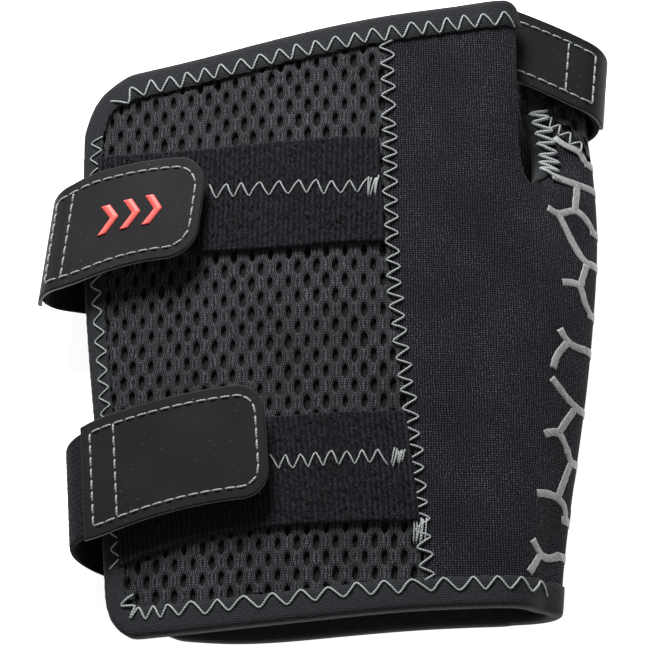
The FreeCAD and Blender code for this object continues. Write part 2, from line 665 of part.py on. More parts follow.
def strap(name, fold, base_length, tab_start, tab_length, tab_width, tab_corner, column_runs):
    """Sewn-down base, moving webbing, stiff tab, hook pad and stitches of one strap."""
    arc = [-fold.radius * math.pi / 2 * i / ARC_STEPS for i in range(ARC_STEPS + 1)]
    base_runs = arc + [-fold.radius * math.pi / 2 - base_length]
    rise = [fold.half_turn * i / ARC_STEPS for i in range(ARC_STEPS + 1)]
    tip = tab_start + tab_length
    slant = fold.width / 2 * math.sin(math.atan(fold.lean))
    web_runs = rise + [tip - TIP_INSET - slant]
    parts.append(add_feature(name + "_strap_base", fold.webbing(base_runs)))
    parts.append(add_feature(name + "_strap_webbing", fold.webbing(web_runs)))
    shifted = FreeCAD.Placement(SHIFT, FreeCAD.Rotation())
    on_top = shifted.multiply(fold.leg_frame(tab_start, WEB / 2))
    lean_cos = math.cos(math.atan(fold.lean))
    parts.append(plate(name + "_strap_tab", tab_length / lean_cos, tab_width, "tab_thickness",
                       tab_corner, on_top))
    beneath = shifted.multiply(fold.leg_frame(tab_start + tab_length * HOOK_FROM, -WEB / 2 - HOOK))
    hook_length = (tab_length * (1 - HOOK_FROM) - HOOK_END) / lean_cos
    parts.append(plate(name + "_strap_hook", hook_length, tab_width - HOOK_NARROWER, "hook_thickness",
                       None, beneath))
    inset = dim("stitch_inset")
    half, far = tab_width / 2 - inset, tab_length / lean_cos - inset
    turn = STITCH_CORNER
    line = [(1.5, half), (far - turn, half), (far, half - turn), (far, turn - half), (far - turn, -half),
            (1.5, -half)]
    rows = list(zip(line, line[1:]))
    rows += [((run, half), (run, -half)) for run in column_runs]
    local = fold.leg_frame(tab_start, WEB / 2)
    stitches = [running_stitch(a, b, TAB, local) for a, b in rows]
    parts.append(add_feature(name + "_strap_stitching", Part.makeCompound(stitches)))
    hinges[name] = fold.hinge()
    return local


BASE_Z = BACK_Z + PANEL + SKIN + WEB / 2 + 0.1
RADIUS = dim("fold_radius")
upper = Fold((-69.3, 20.4), 80.0, 1, BASE_Z, RADIUS, dim("flank_slope"), 24.5, 30.0, dim("strap_width"))
lower = Fold((-62.6, -43.4), 93.7, 1, BASE_Z, RADIUS + 1.1, dim("flank_slope"), 4.3, 24.0, 26.5)
hand = Fold((71.6, 65.2), 84.5, -1, 0.95, 6.3, 14.0, 16.5, 16.0, dim("hand_strap_width"))
upper_frame = strap("upper", upper, 20.0, upper.half_turn - 2.0, 35.0, 27.0, "tab_corner", (3.2, 7.4))
strap("lower", lower, 14.0, lower.half_turn + 0.5, 45.5, 28.5, "tab_corner", (2.4, 9.0))
strap("hand", hand, 1.4, hand.half_turn - 2.0, 17.4, 17.6, None, (2.2, 8.8))

# Plain mark on the upper tab: three raised chevrons
MARK_START, MARK_PITCH, MARK_HALF, MARK_WIDTH, MARK_POINT, MARK_HEIGHT = 13.0, 5.6, 4.0, 2.4, 3.0, 0.3
chevrons = []
for i in range(3):
    x, half = MARK_START + MARK_PITCH * i, MARK_HALF
    front = x + MARK_WIDTH
    outline = [(x, half), (front, half), (front + MARK_POINT, 0), (front, -half), (x, -half),
               (x + MARK_POINT, 0)]
    wire = Part.makePolygon([V(px, py, TAB) for px, py in outline + outline[:1]])
    chevrons.append(Part.Face(wire).extrude(V(0, 0, MARK_HEIGHT)))
mark = Part.makeCompound(chevrons)
mark.Placement = upper_frame
parts.append(add_feature("upper_tab_mark", mark))

# ---------------------------------------------------------------- palm stay in its pocket, under the palm side
STAY_X, STAY_Y, STAY_Z = 26.0, -66.0, 19.7
STAY_CORNER = 5.0
WIDTH, THICK, LENGTH = dim("stay_width"), dim("stay_thickness"), dim("stay_length")
PLAY, WALL = dim("pocket_play"), dim("pocket_wall")


def rounded_bar(width, thickness, length, radius):
    bar_shape = Part.makeBox(width, length, thickness, V(-width / 2, 0, 0))
    ends = [e for e in bar_shape.Edges if abs(e.Vertexes[0].Point.z - e.Vertexes[-1].Point.z) > 1e-6]
    return bar_shape.makeFillet(radius, ends)


stay = rounded_bar(WIDTH, THICK, LENGTH, STAY_CORNER)
stay.translate(V(STAY_X, STAY_Y, STAY_Z))
parts.append(add_feature("palm_stay", stay))
outer_box = Part.makeBox(WIDTH + 2 * (PLAY + WALL), LENGTH + 2, THICK + 2 * (PLAY + WALL),
                         V(STAY_X - WIDTH / 2 - PLAY - WALL, STAY_Y + 1, STAY_Z - PLAY - WALL))
inner_box = Part.makeBox(WIDTH + 2 * PLAY, LENGTH + 2, THICK + 2 * PLAY,
                         V(STAY_X - WIDTH / 2 - PLAY, STAY_Y - 1, STAY_Z - PLAY))
parts.append(add_feature("stay_pocket", outer_box.cut(inner_box)))

# ---------------------------------------------------------------- checks and export
doc.recompute()
for obj in doc.Objects:
    if "Invalid" in obj.State or "Error" in obj.State:
        raise RuntimeError("%s did not compute: %s" % (obj.Name, obj.State))
for part in parts:
    shape = part.Shape
    if shape.isNull() or not shape.isValid() or not shape.Solids:
        raise RuntimeError("%s has no valid solid" % part.Label)
    box = shape.BoundBox
    print("%-26s %3d solids %9.1f mm3  X %.1f..%.1f Y %.1f..%.1f Z %.2f..%.2f" % (
        part.Label, len(shape.Solids), shape.Volume, box.XMin, box.XMax, box.YMin, box.YMax,
        box.ZMin, box.ZMax))
for name, (point, axis) in hinges.items():
    print("hinge", name, [round(c / 1000, 5) for c in point], [round(c, 5) for c in axis])
os.makedirs("parts", exist_ok=True)
for part in parts:
    part.Shape.exportStep("parts/%s.step" % part.Label)
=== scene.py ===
import math

import bpy
import numpy as np
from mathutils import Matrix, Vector


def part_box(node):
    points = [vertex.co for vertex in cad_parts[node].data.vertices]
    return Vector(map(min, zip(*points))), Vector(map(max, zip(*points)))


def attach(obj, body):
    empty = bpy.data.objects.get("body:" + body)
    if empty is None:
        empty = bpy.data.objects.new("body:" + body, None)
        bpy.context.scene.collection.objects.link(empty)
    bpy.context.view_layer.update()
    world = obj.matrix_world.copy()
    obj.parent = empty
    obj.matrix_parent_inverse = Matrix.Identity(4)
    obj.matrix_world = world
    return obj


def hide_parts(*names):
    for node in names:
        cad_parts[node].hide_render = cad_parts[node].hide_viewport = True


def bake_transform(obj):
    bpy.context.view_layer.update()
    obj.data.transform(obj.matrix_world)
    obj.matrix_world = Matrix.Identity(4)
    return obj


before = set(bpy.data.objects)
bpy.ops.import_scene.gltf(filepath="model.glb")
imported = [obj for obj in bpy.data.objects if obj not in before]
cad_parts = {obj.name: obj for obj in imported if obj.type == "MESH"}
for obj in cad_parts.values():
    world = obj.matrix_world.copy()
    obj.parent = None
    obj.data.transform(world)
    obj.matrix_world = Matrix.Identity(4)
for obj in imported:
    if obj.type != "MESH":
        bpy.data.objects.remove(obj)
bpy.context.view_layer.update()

MM = 0.001
rng = np.random.default_rng(7)

# ---------------------------------------------------------------- the wrap's shape, in millimetres
# The guard is one sheet folded round the thumb side. Sections across it are set at a few stations along
# Y: the ridge beside the thumb, the valley past it, and the fold (its reach in X, radius, centre height).
SHIFT = np.array([-0.42, -3.77, 0.0])      # from the design's own numbers to the frame's origin
PANEL, BACK_Z = 2.6, 0.75               # thickness, and height of the back's under face
SLOPE = math.tan(math.radians(14.5))
FLANK_HEIGHT = 11.5
STATIONS = [
    (-95, (46.0, 23.6), (49.0, 20.8), (55.6, 8.5, 10.5)),
    (-60, (48.0, 23.6), (51.4, 20.8), (58.4, 8.5, 10.4)),
    (-20, (52.0, 22.6), (56.4, 20.4), (64.6, 8.5, 10.2)),
    (8, (55.6, 20.8), (60.0, 18.8), (68.0, 8.0, 9.6)),
    (25, (55.8, 19.4), (60.4, 16.4), (69.2, 6.6, 8.2)),
    (45, (49.0, 22.0), (57.0, 15.0), (68.5, 5.6, 7.2)),
    (55, (48.8, 22.6), (56.2, 11.8), (67.6, 4.8, 7.0)),
    (64, (48.8, 22.8), (55.8, 11.4), (66.8, 4.7, 7.0)),
    (100, (48.6, 22.8), (55.4, 11.2), (65.4, 4.7, 6.9)),
]
CROWN = [(2.0, 25.9), (19.0, 26.5), (36.0, 25.6)]
FLAT_FROM_FOLD = 15.0
BACK_LEFT = -60.0
SEAM = [(14.5, 90.0), (15.8, 62.0), (16.2, 35.0), (17.4, 2.0), (20.6, -25.0), (24.0, -62.0), (26.0, -95.0)]
FRONT_EDGE = [(-53.4, -70.0), (-55.4, -44.0), (-60.0, 2.0), (-61.6, 30.0), (-61.8, 52.0)]
FRONT_TOP = [(-50.0, 67.7), (-32.0, 70.2), (16.6, 78.9), (47.4, 84.1)]
BOTTOM = [(-47.0, -79.7), (-32.7, -79.0), (1.2, -76.8), (25.0, -74.8), (56.8, -73.7)]
BACK_BOTTOM = [(-35.5, -77.6), (-24.0, -78.3)] + BOTTOM[2:]
BACK_TOP = [(-45.0, 70.6), (-34.0, 72.5), (17.0, 84.0), (40.0, 86.6), (52.0, 84.0), (67.0, 77.0)]
BACK_EDGE = [(-47.5, -66.0), (-51.0, -40.0), (-54.0, 0.0), (-54.0, 50.0)]
BACK_SEAM_X = 30.0


def natural_spline(xs, ys):
    """Second derivatives of the natural cubic through the points; ys may have several columns."""
    xs, ys = np.asarray(xs, float), np.asarray(ys, float)
    count = len(xs)
    matrix, right = np.zeros((count, count)), np.zeros_like(ys)
    matrix[0, 0] = matrix[-1, -1] = 1.0
    for i in range(1, count - 1):
        before, after = xs[i] - xs[i - 1], xs[i + 1] - xs[i]
        matrix[i, i - 1:i + 2] = before, 2 * (before + after), after
        right[i] = 6 * ((ys[i + 1] - ys[i]) / after - (ys[i] - ys[i - 1]) / before)
    return np.linalg.solve(matrix, right)


def spline_at(xs, ys, at):
    """Value of the natural cubic through (xs, ys) at each of at."""
    xs, ys, at = np.asarray(xs, float), np.asarray(ys, float), np.asarray(at, float)
    bends = natural_spline(xs, ys)
    i = np.clip(np.searchsorted(xs, at) - 1, 0, len(xs) - 2)
    step = xs[i + 1] - xs[i]
    a, b = (xs[i + 1] - at) / step, (at - xs[i]) / step
    if ys.ndim > 1:
        a, b, step = a[:, None], b[:, None], step[:, None]
    return (a * ys[i] + b * ys[i + 1]
            + ((a ** 3 - a) * bends[i] + (b ** 3 - b) * bends[i + 1]) * step ** 2 / 6)


def smooth_step(low, high, value):
    t = np.clip((np.asarray(value, float) - low) / (high - low), 0, 1)
    return t * t * (3 - 2 * t)


def lengths_along(path):
    """Length from the first point to each point of a path."""
    return np.concatenate([[0], np.cumsum(np.linalg.norm(np.diff(path, axis=0), axis=1))])


def section_controls(station):
    """Points (x, z) of the outer face at a station, from the palm's free edge round to the back's."""
    ridge, valley, (reach, radius, centre_z) = station[1:]
    points = [(x, FLANK_HEIGHT + SLOPE * (x + 60)) for x in (-68.0, -52.0, -34.0, -16.0)]
    points += CROWN + [ridge, valley]
    for angle in (65, 25, -25, -65):
        a = math.radians(angle)
        points.append((reach - radius + radius * math.cos(a), centre_z + radius * math.sin(a)))
    flat = reach - FLAT_FROM_FOLD
    return points + [(flat, BACK_Z), (flat - 12, BACK_Z), (flat - 40, BACK_Z), (BACK_LEFT, BACK_Z)]


ROW_STEP, ARC_STEP = 1.0, 0.5
ROWS = np.arange(-96.0, 101.0, ROW_STEP)
ARCS = np.arange(-92.0, 206.0, ARC_STEP)


def build_wrap():
    """Tables of x and z over Y rows and arc length; arc 0 is on the crown, growing towards the thumb."""
    ys = [s[0] for s in STATIONS]
    controls = np.array([section_controls(s) for s in STATIONS])
    flat = controls.reshape(len(ys), -1)
    rows = spline_at(ys, flat, ROWS).reshape(len(ROWS), -1, 2)
    table = np.zeros((len(ROWS), len(ARCS), 2))
    for i, points in enumerate(rows):
        chord = lengths_along(points)
        dense = spline_at(chord, points, np.linspace(0, chord[-1], 1600))
        dense[:, 1] = np.maximum(dense[:, 1], BACK_Z)
        arc = lengths_along(dense)
        crown = arc[:700][np.argmin(abs(dense[:700, 0] - CROWN[1][0]))]
        for k in range(2):
            table[i, :, k] = np.interp(ARCS, arc - crown, dense[:, k])
    return table


WRAP = build_wrap()

VALLEY_RISE = 4.6                       # the valley lies this much above the fold's middle
HOLE_FOOT = 34.8                        # Y where the thumb hole ends


def build_thumb_side():
    """The wrap as the thumb side continues it: past the valley it runs on under the palm layer's edge."""
    table = WRAP.copy()
    for i, y in enumerate(ROWS):
        share = smooth_step(HOLE_FOOT, 45.0, y)
        if share <= 0:
            continue
        apex = int(np.argmax(WRAP[i, :, 0]))
        valley = apex - int(np.argmax(WRAP[i, apex::-1, 1] > VALLEY_RISE + WRAP[i, apex, 1]))
        steps = np.arange(valley + 1)[::-1] * ARC_STEP
        x0, z0 = WRAP[i, valley]
        shelf = np.stack([x0 - steps * 0.985, z0 + 0.20 * steps - 0.012 * np.minimum(steps, 9) ** 2], 1)
        table[i, :valley + 1] = WRAP[i, :valley + 1] * (1 - share) + shelf * share
    return table


THUMB_SIDE = build_thumb_side()


def lookup(arc, y, wrap=None):
    """Point of the outer face for arrays of arc and Y."""
    wrap = WRAP if wrap is None else wrap
    u = np.clip((np.asarray(y, float) - ROWS[0]) / ROW_STEP, 0, len(ROWS) - 1.001)
    v = np.clip((np.asarray(arc, float) - ARCS[0]) / ARC_STEP, 0, len(ARCS) - 1.001)
    i, j = u.astype(int), v.astype(int)
    fu, fv = (u - i)[..., None], (v - j)[..., None]
    top = wrap[i, j] * (1 - fv) + wrap[i, j + 1] * fv
    low = wrap[i + 1, j] * (1 - fv) + wrap[i + 1, j + 1] * fv
    xz = top * (1 - fu) + low * fu
    return np.stack([xz[..., 0], np.broadcast_to(y, xz[..., 0].shape), xz[..., 1]], -1)


def outward(arc, y, wrap=None):
    """Unit normal of the outer face."""
    along = lookup(arc + 0.6, y, wrap) - lookup(arc - 0.6, y, wrap)
    up = lookup(arc, y + 1.2, wrap) - lookup(arc, y - 1.2, wrap)
    normal = np.cross(along, up)
    return normal / np.linalg.norm(normal, axis=-1, keepdims=True)


def surface(arc, y, lift=0.0, wrap=None):
    arc, y = np.broadcast_arrays(np.asarray(arc, float), np.asarray(y, float))
    lift = np.broadcast_to(np.asarray(lift, float), arc.shape)
    return lookup(arc, y, wrap) + outward(arc, y, wrap) * lift[..., None]


def palm_arc(x, y, wrap=None):
    """Arc length where the palm side's outer face reaches x."""
    x, y = np.broadcast_arrays(np.asarray(x, float), np.asarray(y, float))
    low, high = np.full(x.shape, ARCS[0]), np.full(x.shape, 62.0)
    for _ in range(24):
        middle = (low + high) / 2
        short = lookup(middle, y, wrap)[..., 0] < x
        low, high = np.where(short, middle, low), np.where(short, high, middle)
    return (low + high) / 2


def back_arc(x, y):
    """Arc length where the back layer reaches x."""
    x, y = np.broadcast_arrays(np.asarray(x, float), np.asarray(y, float))
    low, high = np.full(x.shape, 62.0), np.full(x.shape, ARCS[-1])
    for _ in range(24):
        middle = (low + high) / 2
        short = lookup(middle, y)[..., 0] > x
        low, high = np.where(short, middle, low), np.where(short, high, middle)
    return (low + high) / 2


# ---------------------------------------------------------------- mesh building
def make_object(name, points, faces, weave, material=None):
    """Smooth mesh object from points and the fabric coordinate of each, both in millimetres."""
    mesh = bpy.data.meshes.new(name)
    placed = (np.asarray(points, float).reshape(-1, 3) + SHIFT) * MM
    mesh.from_pydata(placed.tolist(), [], [tuple(int(i) for i in f) for f in faces])
    attribute = mesh.attributes.new("weave", "FLOAT_VECTOR", "POINT")
    attribute.data.foreach_set("vector", np.asarray(weave, np.float32).ravel())
    mesh.validate()
    mesh.polygons.foreach_set("use_smooth", [True] * len(mesh.polygons))
    mesh.update()
    obj = bpy.data.objects.new(name, mesh)
    bpy.context.scene.collection.objects.link(obj)
    if material:
        obj.data.materials.append(material)
    return obj


def grid_faces(rows, columns, closed_columns=False):
    """Quads of a grid stored row by row."""
    faces = []
    for i in range(rows - 1):
        for j in range(columns if closed_columns else columns - 1):
            low, high = i * columns, (i + 1) * columns
            beside = (j + 1) % columns
            faces.append((low + j, low + beside, high + beside, high + j))
    return faces


def thicken(points, faces, inner, weave):
    """Closes a sheet: adds its inner face and a wall along every open edge."""
    count = len(points)
    uses = {}
    for face in faces:
        for a, b in zip(face, face[1:] + face[:1]):
            uses[(a, b)] = True
    solid = list(faces) + [tuple(count + i for i in reversed(face)) for face in faces]
    for a, b in uses:
        if (b, a) not in uses:
            solid.append((b, a, count + a, count + b))
    return np.concatenate([points, inner]), solid, np.concatenate([weave, weave])


class Builder:
    """Collects several shapes into one mesh."""

    def __init__(self):
        self.points, self.faces, self.weave, self.count = [], [], [], 0

    def add(self, points, faces, weave):
        """Takes in a shape; its faces count its own points, and a missing third coordinate is 0."""
        points = np.asarray(points, float).reshape(-1, 3)
        weave = np.asarray(weave, float).reshape(len(points), -1)
        if weave.shape[1] < 3:
            weave = np.concatenate([weave, np.zeros((len(points), 3 - weave.shape[1]))], 1)
        self.points.append(points)
        self.weave.append(weave)
        self.faces += [tuple(i + self.count for i in f) for f in faces]
        self.count += len(points)

    def make(self, name, material):
        return make_object(name, np.concatenate(self.points), self.faces, np.concatenate(self.weave),
                           material)


def tube(builder, path, radius, sides):
    """Round thread along a path, closed at both ends; radius may vary along it."""
    path = np.asarray(path, float)
    count = len(path)
    radius = np.broadcast_to(np.asarray(radius, float), (count,))
    tangent = np.gradient(path, axis=0)
    tangent /= np.linalg.norm(tangent, axis=1, keepdims=True) + 1e-9
    side = np.cross(tangent, np.array([0.13, 0.07, 1.0]))
    side /= np.linalg.norm(side, axis=1, keepdims=True) + 1e-9
    up = np.cross(side, tangent)
    angles = np.arange(sides) * 2 * math.pi / sides
    ring = (side[:, None] * np.cos(angles)[None, :, None] + up[:, None] * np.sin(angles)[None, :, None])
    points = path[:, None] + ring * radius[:, None, None]
    lengths = lengths_along(path)
    weave = np.stack([np.broadcast_to(lengths[:, None], (count, sides)),
                      np.broadcast_to(angles[None] / (2 * math.pi), (count, sides))], -1)
    faces = [(b, a, d, c) for a, b, c, d in grid_faces(count, sides, closed_columns=True)]
    faces.append(tuple(range(sides)))
    faces.append(tuple(reversed(range((count - 1) * sides, count * sides))))
    builder.add(points, faces, weave)


def resample(path, step):
    """Evenly spaced points along a polyline, in any number of dimensions."""
    path = np.asarray(path, float)
    lengths = lengths_along(path)
    at = np.linspace(0, lengths[-1], max(2, int(round(lengths[-1] / step)) + 1))
    return np.stack([np.interp(at, lengths, path[:, k]) for k in range(path.shape[1])], -1)


def smooth_path(points, step):
    """Smooth curve through plan points, evenly spaced."""
    points = np.asarray(points, float)
    chord = lengths_along(points)
    dense = spline_at(chord, points, np.linspace(0, chord[-1], 60 * len(points)))
    return resample(dense, step)


# Cells of the air mesh, and half the width and height of the hole in each
CELL_X, CELL_Y, HOLE_X, HOLE_Y = 2.35, 7.8, 0.78, 2.05


# ---------------------------------------------------------------- materials
class Shader:
    """Principled material with short calls for its nodes."""

    def __init__(self, name, colour, roughness, sheen=0.0, specular=0.5):
        self.material = bpy.data.materials.new(name)
        self.material.use_nodes = True
        self.nodes, self.links = self.material.node_tree.nodes, self.material.node_tree.links
        self.bsdf = self.nodes["Principled BSDF"]
        self.bsdf.inputs["Base Color"].default_value = (*colour, 1)
        self.bsdf.inputs["Roughness"].default_value = roughness
        self.bsdf.inputs["Specular IOR Level"].default_value = specular
        self.bsdf.inputs["Sheen Weight"].default_value = sheen
        self.bsdf.inputs["Sheen Roughness"].default_value = 0.4
        self.weave = self.node("ShaderNodeAttribute", attribute_name="weave").outputs["Vector"]
        self.x, self.y, _ = self.node("ShaderNodeSeparateXYZ", (self.weave,)).outputs
        self.normal = None

    def node(self, kind, inputs=(), **settings):
        made = self.nodes.new(kind)
        for key, value in settings.items():
            setattr(made, key, value)
        for i, value in enumerate(inputs):
            if value is None:
                continue
            if isinstance(value, bpy.types.NodeSocket):
                self.links.new(value, made.inputs[i])
            else:
                made.inputs[i].default_value = value
        return made

    def math(self, operation, a, b=None, c=None):
        return self.node("ShaderNodeMath", (a, b, c), operation=operation).outputs[0]

    def times(self, a, b):
        return self.math("MULTIPLY", a, b)

    def scaled(self, value, factor, added):
        return self.math("MULTIPLY_ADD", value, factor, added)

    def noise(self, scale, detail=2.0, vector=None, roughness=0.5):
        made = self.node("ShaderNodeTexNoise", noise_dimensions="3D")
        self.links.new(vector or self.weave, made.inputs["Vector"])
        made.inputs["Scale"].default_value = scale
        made.inputs["Detail"].default_value = detail
        made.inputs["Roughness"].default_value = roughness
        return made.outputs["Fac"]

    def ripple(self, value, pitch, phase=0.0):
        """Smooth wave from 0 to 1 with the given pitch in millimetres."""
        return self.scaled(self.math("SINE", self.scaled(value, 2 * math.pi / pitch, phase)), 0.5, 0.5)

    def curve(self, value, low, high, out_low=0.0, out_high=1.0):
        made = self.node("ShaderNodeMapRange", (value, low, high, out_low, out_high), clamp=True)
        return made.outputs[0]

    def blend(self, factor, first, second):
        made = self.node("ShaderNodeMix", data_type="RGBA")
        self.links.new(factor, made.inputs[0])
        for socket, colour in ((made.inputs[6], first), (made.inputs[7], second)):
            if isinstance(colour, bpy.types.NodeSocket):
                self.links.new(colour, socket)
            else:
                socket.default_value = (*colour, 1)
        return made.outputs[2]

    def colour(self, value):
        self.links.new(value, self.bsdf.inputs["Base Color"])

    def rough(self, value):
        self.links.new(value, self.bsdf.inputs["Roughness"])

    def bump(self, height, strength, distance):
        """Adds a bump whose height is distance millimetres."""
        made = self.node("ShaderNodeBump")
        made.inputs["Strength"].default_value = strength
        made.inputs["Distance"].default_value = distance * MM
        self.links.new(height, made.inputs["Height"])
        if self.normal is not None:
            self.links.new(self.normal, made.inputs["Normal"])
        self.normal = made.outputs[0]
        self.links.new(self.normal, self.bsdf.inputs["Normal"])


def knit_material():
    """Fine jersey face of the neoprene: wales and courses with lighter filaments."""
    s = Shader("neoprene_knit", (0.015, 0.014, 0.018), 0.9, sheen=0.02, specular=0.12)
    x = s.scaled(s.noise(0.35, 2.0), 0.9, s.x)
    wale, course = s.ripple(x, 0.66), s.ripple(s.y, 0.58)
    loops = s.times(wale, s.scaled(course, 0.75, 0.25))
    speck = s.times(s.curve(s.noise(2.4, 3.0, roughness=0.75), 0.47, 0.66), loops)
    patch = s.curve(s.noise(0.06, 2.0), 0.35, 0.65, 0.45, 1.0)
    base = s.blend(loops, (0.0012, 0.0012, 0.002), (0.020, 0.0195, 0.026))
    s.colour(s.blend(s.times(speck, patch), base, (0.18, 0.176, 0.205)))
    s.bump(loops, 0.7, 0.18)
    s.bump(s.noise(1.2, 3.0), 0.3, 0.14)
    return s.material


def mesh_material():
    """Yarn of the air mesh: fine upright lines that part round every hole and close again."""
    s = Shader("air_mesh", (0.03, 0.031, 0.034), 0.6, sheen=0.02, specular=0.14)
    turn = s.math("SINE", s.times(s.x, math.pi / CELL_X))
    row = s.math("COSINE", s.times(s.y, 2 * math.pi / CELL_Y))
    swing = s.times(s.times(turn, row), 0.5)
    upright = s.math("ADD", s.scaled(s.noise(0.5, 2.0), 0.5, s.x), swing)
    lines, stitch = s.ripple(upright, 0.52), s.ripple(s.y, 0.62)
    yarn = s.times(lines, s.scaled(stitch, 0.45, 0.55))
    fleck = s.curve(s.noise(1.9, 2.0), 0.42, 0.72, 0.35, 1.0)
    cloud = s.curve(s.noise(0.05, 2.0), 0.35, 0.65, 0.7, 1.15)
    light = s.times(s.times(yarn, fleck), cloud)
    s.colour(s.blend(light, (0.0035, 0.0035, 0.0045), (0.115, 0.12, 0.132)))
    s.bump(yarn, 0.8, 0.16)
    s.bump(s.noise(3.0, 2.0), 0.3, 0.06)
    return s.material


def lining_material():
    """Smooth inner face of the foam, a tight plain knit."""
    s = Shader("lining", (0.008, 0.008, 0.009), 0.9, sheen=0.02, specular=0.25)
    loops = s.times(s.ripple(s.x, 0.7), s.ripple(s.y, 0.6))
    s.colour(s.blend(loops, (0.004, 0.004, 0.005), (0.013, 0.013, 0.015)))
    s.bump(loops, 0.5, 0.1)
    return s.material


def dark_material():
    """What shows through the holes of the mesh, nearly black: partly the black foam's own colour, partly
    painted shade deep in the holes.
    """
    # near-black colour: the foam's own black plus painted shade of the deep holes
    s = Shader("mesh_hole_foam_and_shade", (0.0025, 0.0025, 0.003), 0.9)
    s.colour(s.blend(s.curve(s.noise(1.6, 3.0), 0.5, 0.8), (0.0015, 0.0015, 0.002), (0.014, 0.014, 0.016)))
    s.bump(s.noise(2.5, 3.0), 0.6, 0.2)
    return s.material


def tape_material():
    """Ribbed knit binding, ribs along the tape, a little shiny where it turns."""
    s = Shader("binding_tape", (0.012, 0.013, 0.015), 0.75, sheen=0.02, specular=0.15)
    wobble = s.scaled(s.noise(0.5, 2.0), 0.3, s.y)
    ribs = s.ripple(wobble, 0.55)
    cross = s.ripple(s.x, 0.42)
    weave = s.times(ribs, s.scaled(cross, 0.35, 0.65))
    fuzz = s.curve(s.noise(1.3, 3.0), 0.4, 0.75)
    base = s.blend(weave, (0.006, 0.0065, 0.0075), (0.026, 0.028, 0.032))
    s.colour(s.blend(s.times(fuzz, 0.35), base, (0.042, 0.045, 0.05)))
    s.bump(weave, 0.5, 0.1)
    s.bump(s.noise(0.8, 2.0), 0.25, 0.25)
    return s.material


def loop_material():
    """Brushed loop pile: soft upright ribs with fine lighter hairs."""
    s = Shader("loop_pile", (0.008, 0.008, 0.009), 0.95, sheen=0.02, specular=0.08)
    ribs = s.ripple(s.scaled(s.noise(0.5, 3.0), 1.1, s.x), 1.3)
    hair = s.curve(s.noise(2.2, 4.0, roughness=0.8), 0.42, 0.68)
    tone = s.times(s.scaled(ribs, 0.7, 0.3), s.scaled(hair, 0.7, 0.3))
    s.colour(s.blend(tone, (0.002, 0.002, 0.003), (0.044, 0.044, 0.055)))
    s.bump(ribs, 0.8, 0.3)
    s.bump(s.noise(2.2, 4.0, roughness=0.8), 0.8, 0.35)
    return s.material


def fibre_material():
    """Loose hairs of the loop pile."""
    s = Shader("loop_fibre", (0.014, 0.014, 0.016), 0.6, specular=0.3)
    s.colour(s.blend(s.curve(s.noise(0.5, 1.0), 0.4, 0.7), (0.006, 0.006, 0.007), (0.075, 0.075, 0.09)))
    return s.material


def webbing_material():
    """Strap fabric: napped face with faint cords along it."""
    s = Shader("strap_webbing", (0.008, 0.008, 0.009), 0.95, sheen=0.02, specular=0.08)
    cords = s.ripple(s.scaled(s.noise(0.6, 2.0), 0.6, s.y), 1.3)
    nap = s.curve(s.noise(2.0, 4.0, roughness=0.8), 0.4, 0.7)
    tone = s.times(s.scaled(cords, 0.35, 0.65), nap)
    s.colour(s.blend(tone, (0.003, 0.003, 0.0035), (0.045, 0.045, 0.054)))
    s.bump(cords, 0.3, 0.15)
    s.bump(s.noise(2.0, 4.0, roughness=0.8), 0.8, 0.3)
    return s.material


def tab_material():
    """Matt moulded rubber with a very fine grain and a few light dust marks."""
    s = Shader("tab_rubber", (0.012, 0.012, 0.0135), 0.6, specular=0.14)
    grain = s.noise(5.0, 3.0, roughness=0.7)
    dust = s.curve(s.noise(1.15, 1.0), 0.735, 0.77)
    cloud = s.curve(s.noise(0.07, 2.0), 0.3, 0.7)
    base = s.blend(cloud, (0.0085, 0.0085, 0.010), (0.0135, 0.0135, 0.015))
    s.colour(s.blend(s.times(dust, 0.5), base, (0.16, 0.16, 0.165)))
    s.rough(s.curve(grain, 0.3, 0.7, 0.5, 0.66))
    s.bump(grain, 0.35, 0.035)
    return s.material


def edge_material():
    """Cut edge of the tab, a slightly lighter line of foam backing."""
    s = Shader("tab_edge", (0.05, 0.05, 0.052), 0.75)
    s.colour(s.blend(s.noise(1.6, 3.0), (0.03, 0.03, 0.032), (0.30, 0.30, 0.31)))
    s.bump(s.noise(3.0, 3.0), 0.5, 0.15)
    return s.material


def hook_material():
    """Moulded hook tape."""
    s = Shader("hook_pad", (0.010, 0.010, 0.011), 0.5)
    s.colour(s.blend(s.noise(1.4, 2.0), (0.006, 0.006, 0.007), (0.017, 0.017, 0.018)))
    s.bump(s.noise(3.0, 2.0), 0.3, 0.08)
    return s.material


def thread_material():
    """Twisted grey thread."""
    s = Shader("thread", (0.5, 0.53, 0.53), 0.55, sheen=0.2)
    twist = s.scaled(s.y, 2 * math.pi, s.times(s.x, 2 * math.pi / 0.7))
    ply = s.scaled(s.math("SINE", twist), 0.5, 0.5)
    shade = s.blend(ply, (0.15, 0.165, 0.165), (0.42, 0.45, 0.45))
    s.colour(s.blend(s.curve(s.noise(0.6, 2.0), 0.4, 0.7), shade, (0.30, 0.325, 0.325)))
    s.bump(ply, 0.6, 0.08)
    return s.material


def print_material():
    """Raised silicone print, pale grey, worn thin in places."""
    s = Shader("silicone_print", (0.30, 0.305, 0.30), 0.5)
    worn = s.curve(s.noise(1.5, 3.0, roughness=0.7), 0.35, 0.6)
    s.colour(s.blend(worn, (0.17, 0.172, 0.174), (0.29, 0.294, 0.294)))
    s.bump(s.noise(1.8, 3.0), 0.35, 0.1)
    return s.material


def mark_material():
    """Coral red print of the upper tab's mark."""
    s = Shader("red_mark", (0.95, 0.12, 0.10), 0.45)
    s.colour(s.blend(s.noise(0.9, 2.0), (0.86, 0.10, 0.085), (0.98, 0.145, 0.12)))
    s.bump(s.noise(4.0, 2.0), 0.2, 0.03)
    return s.material


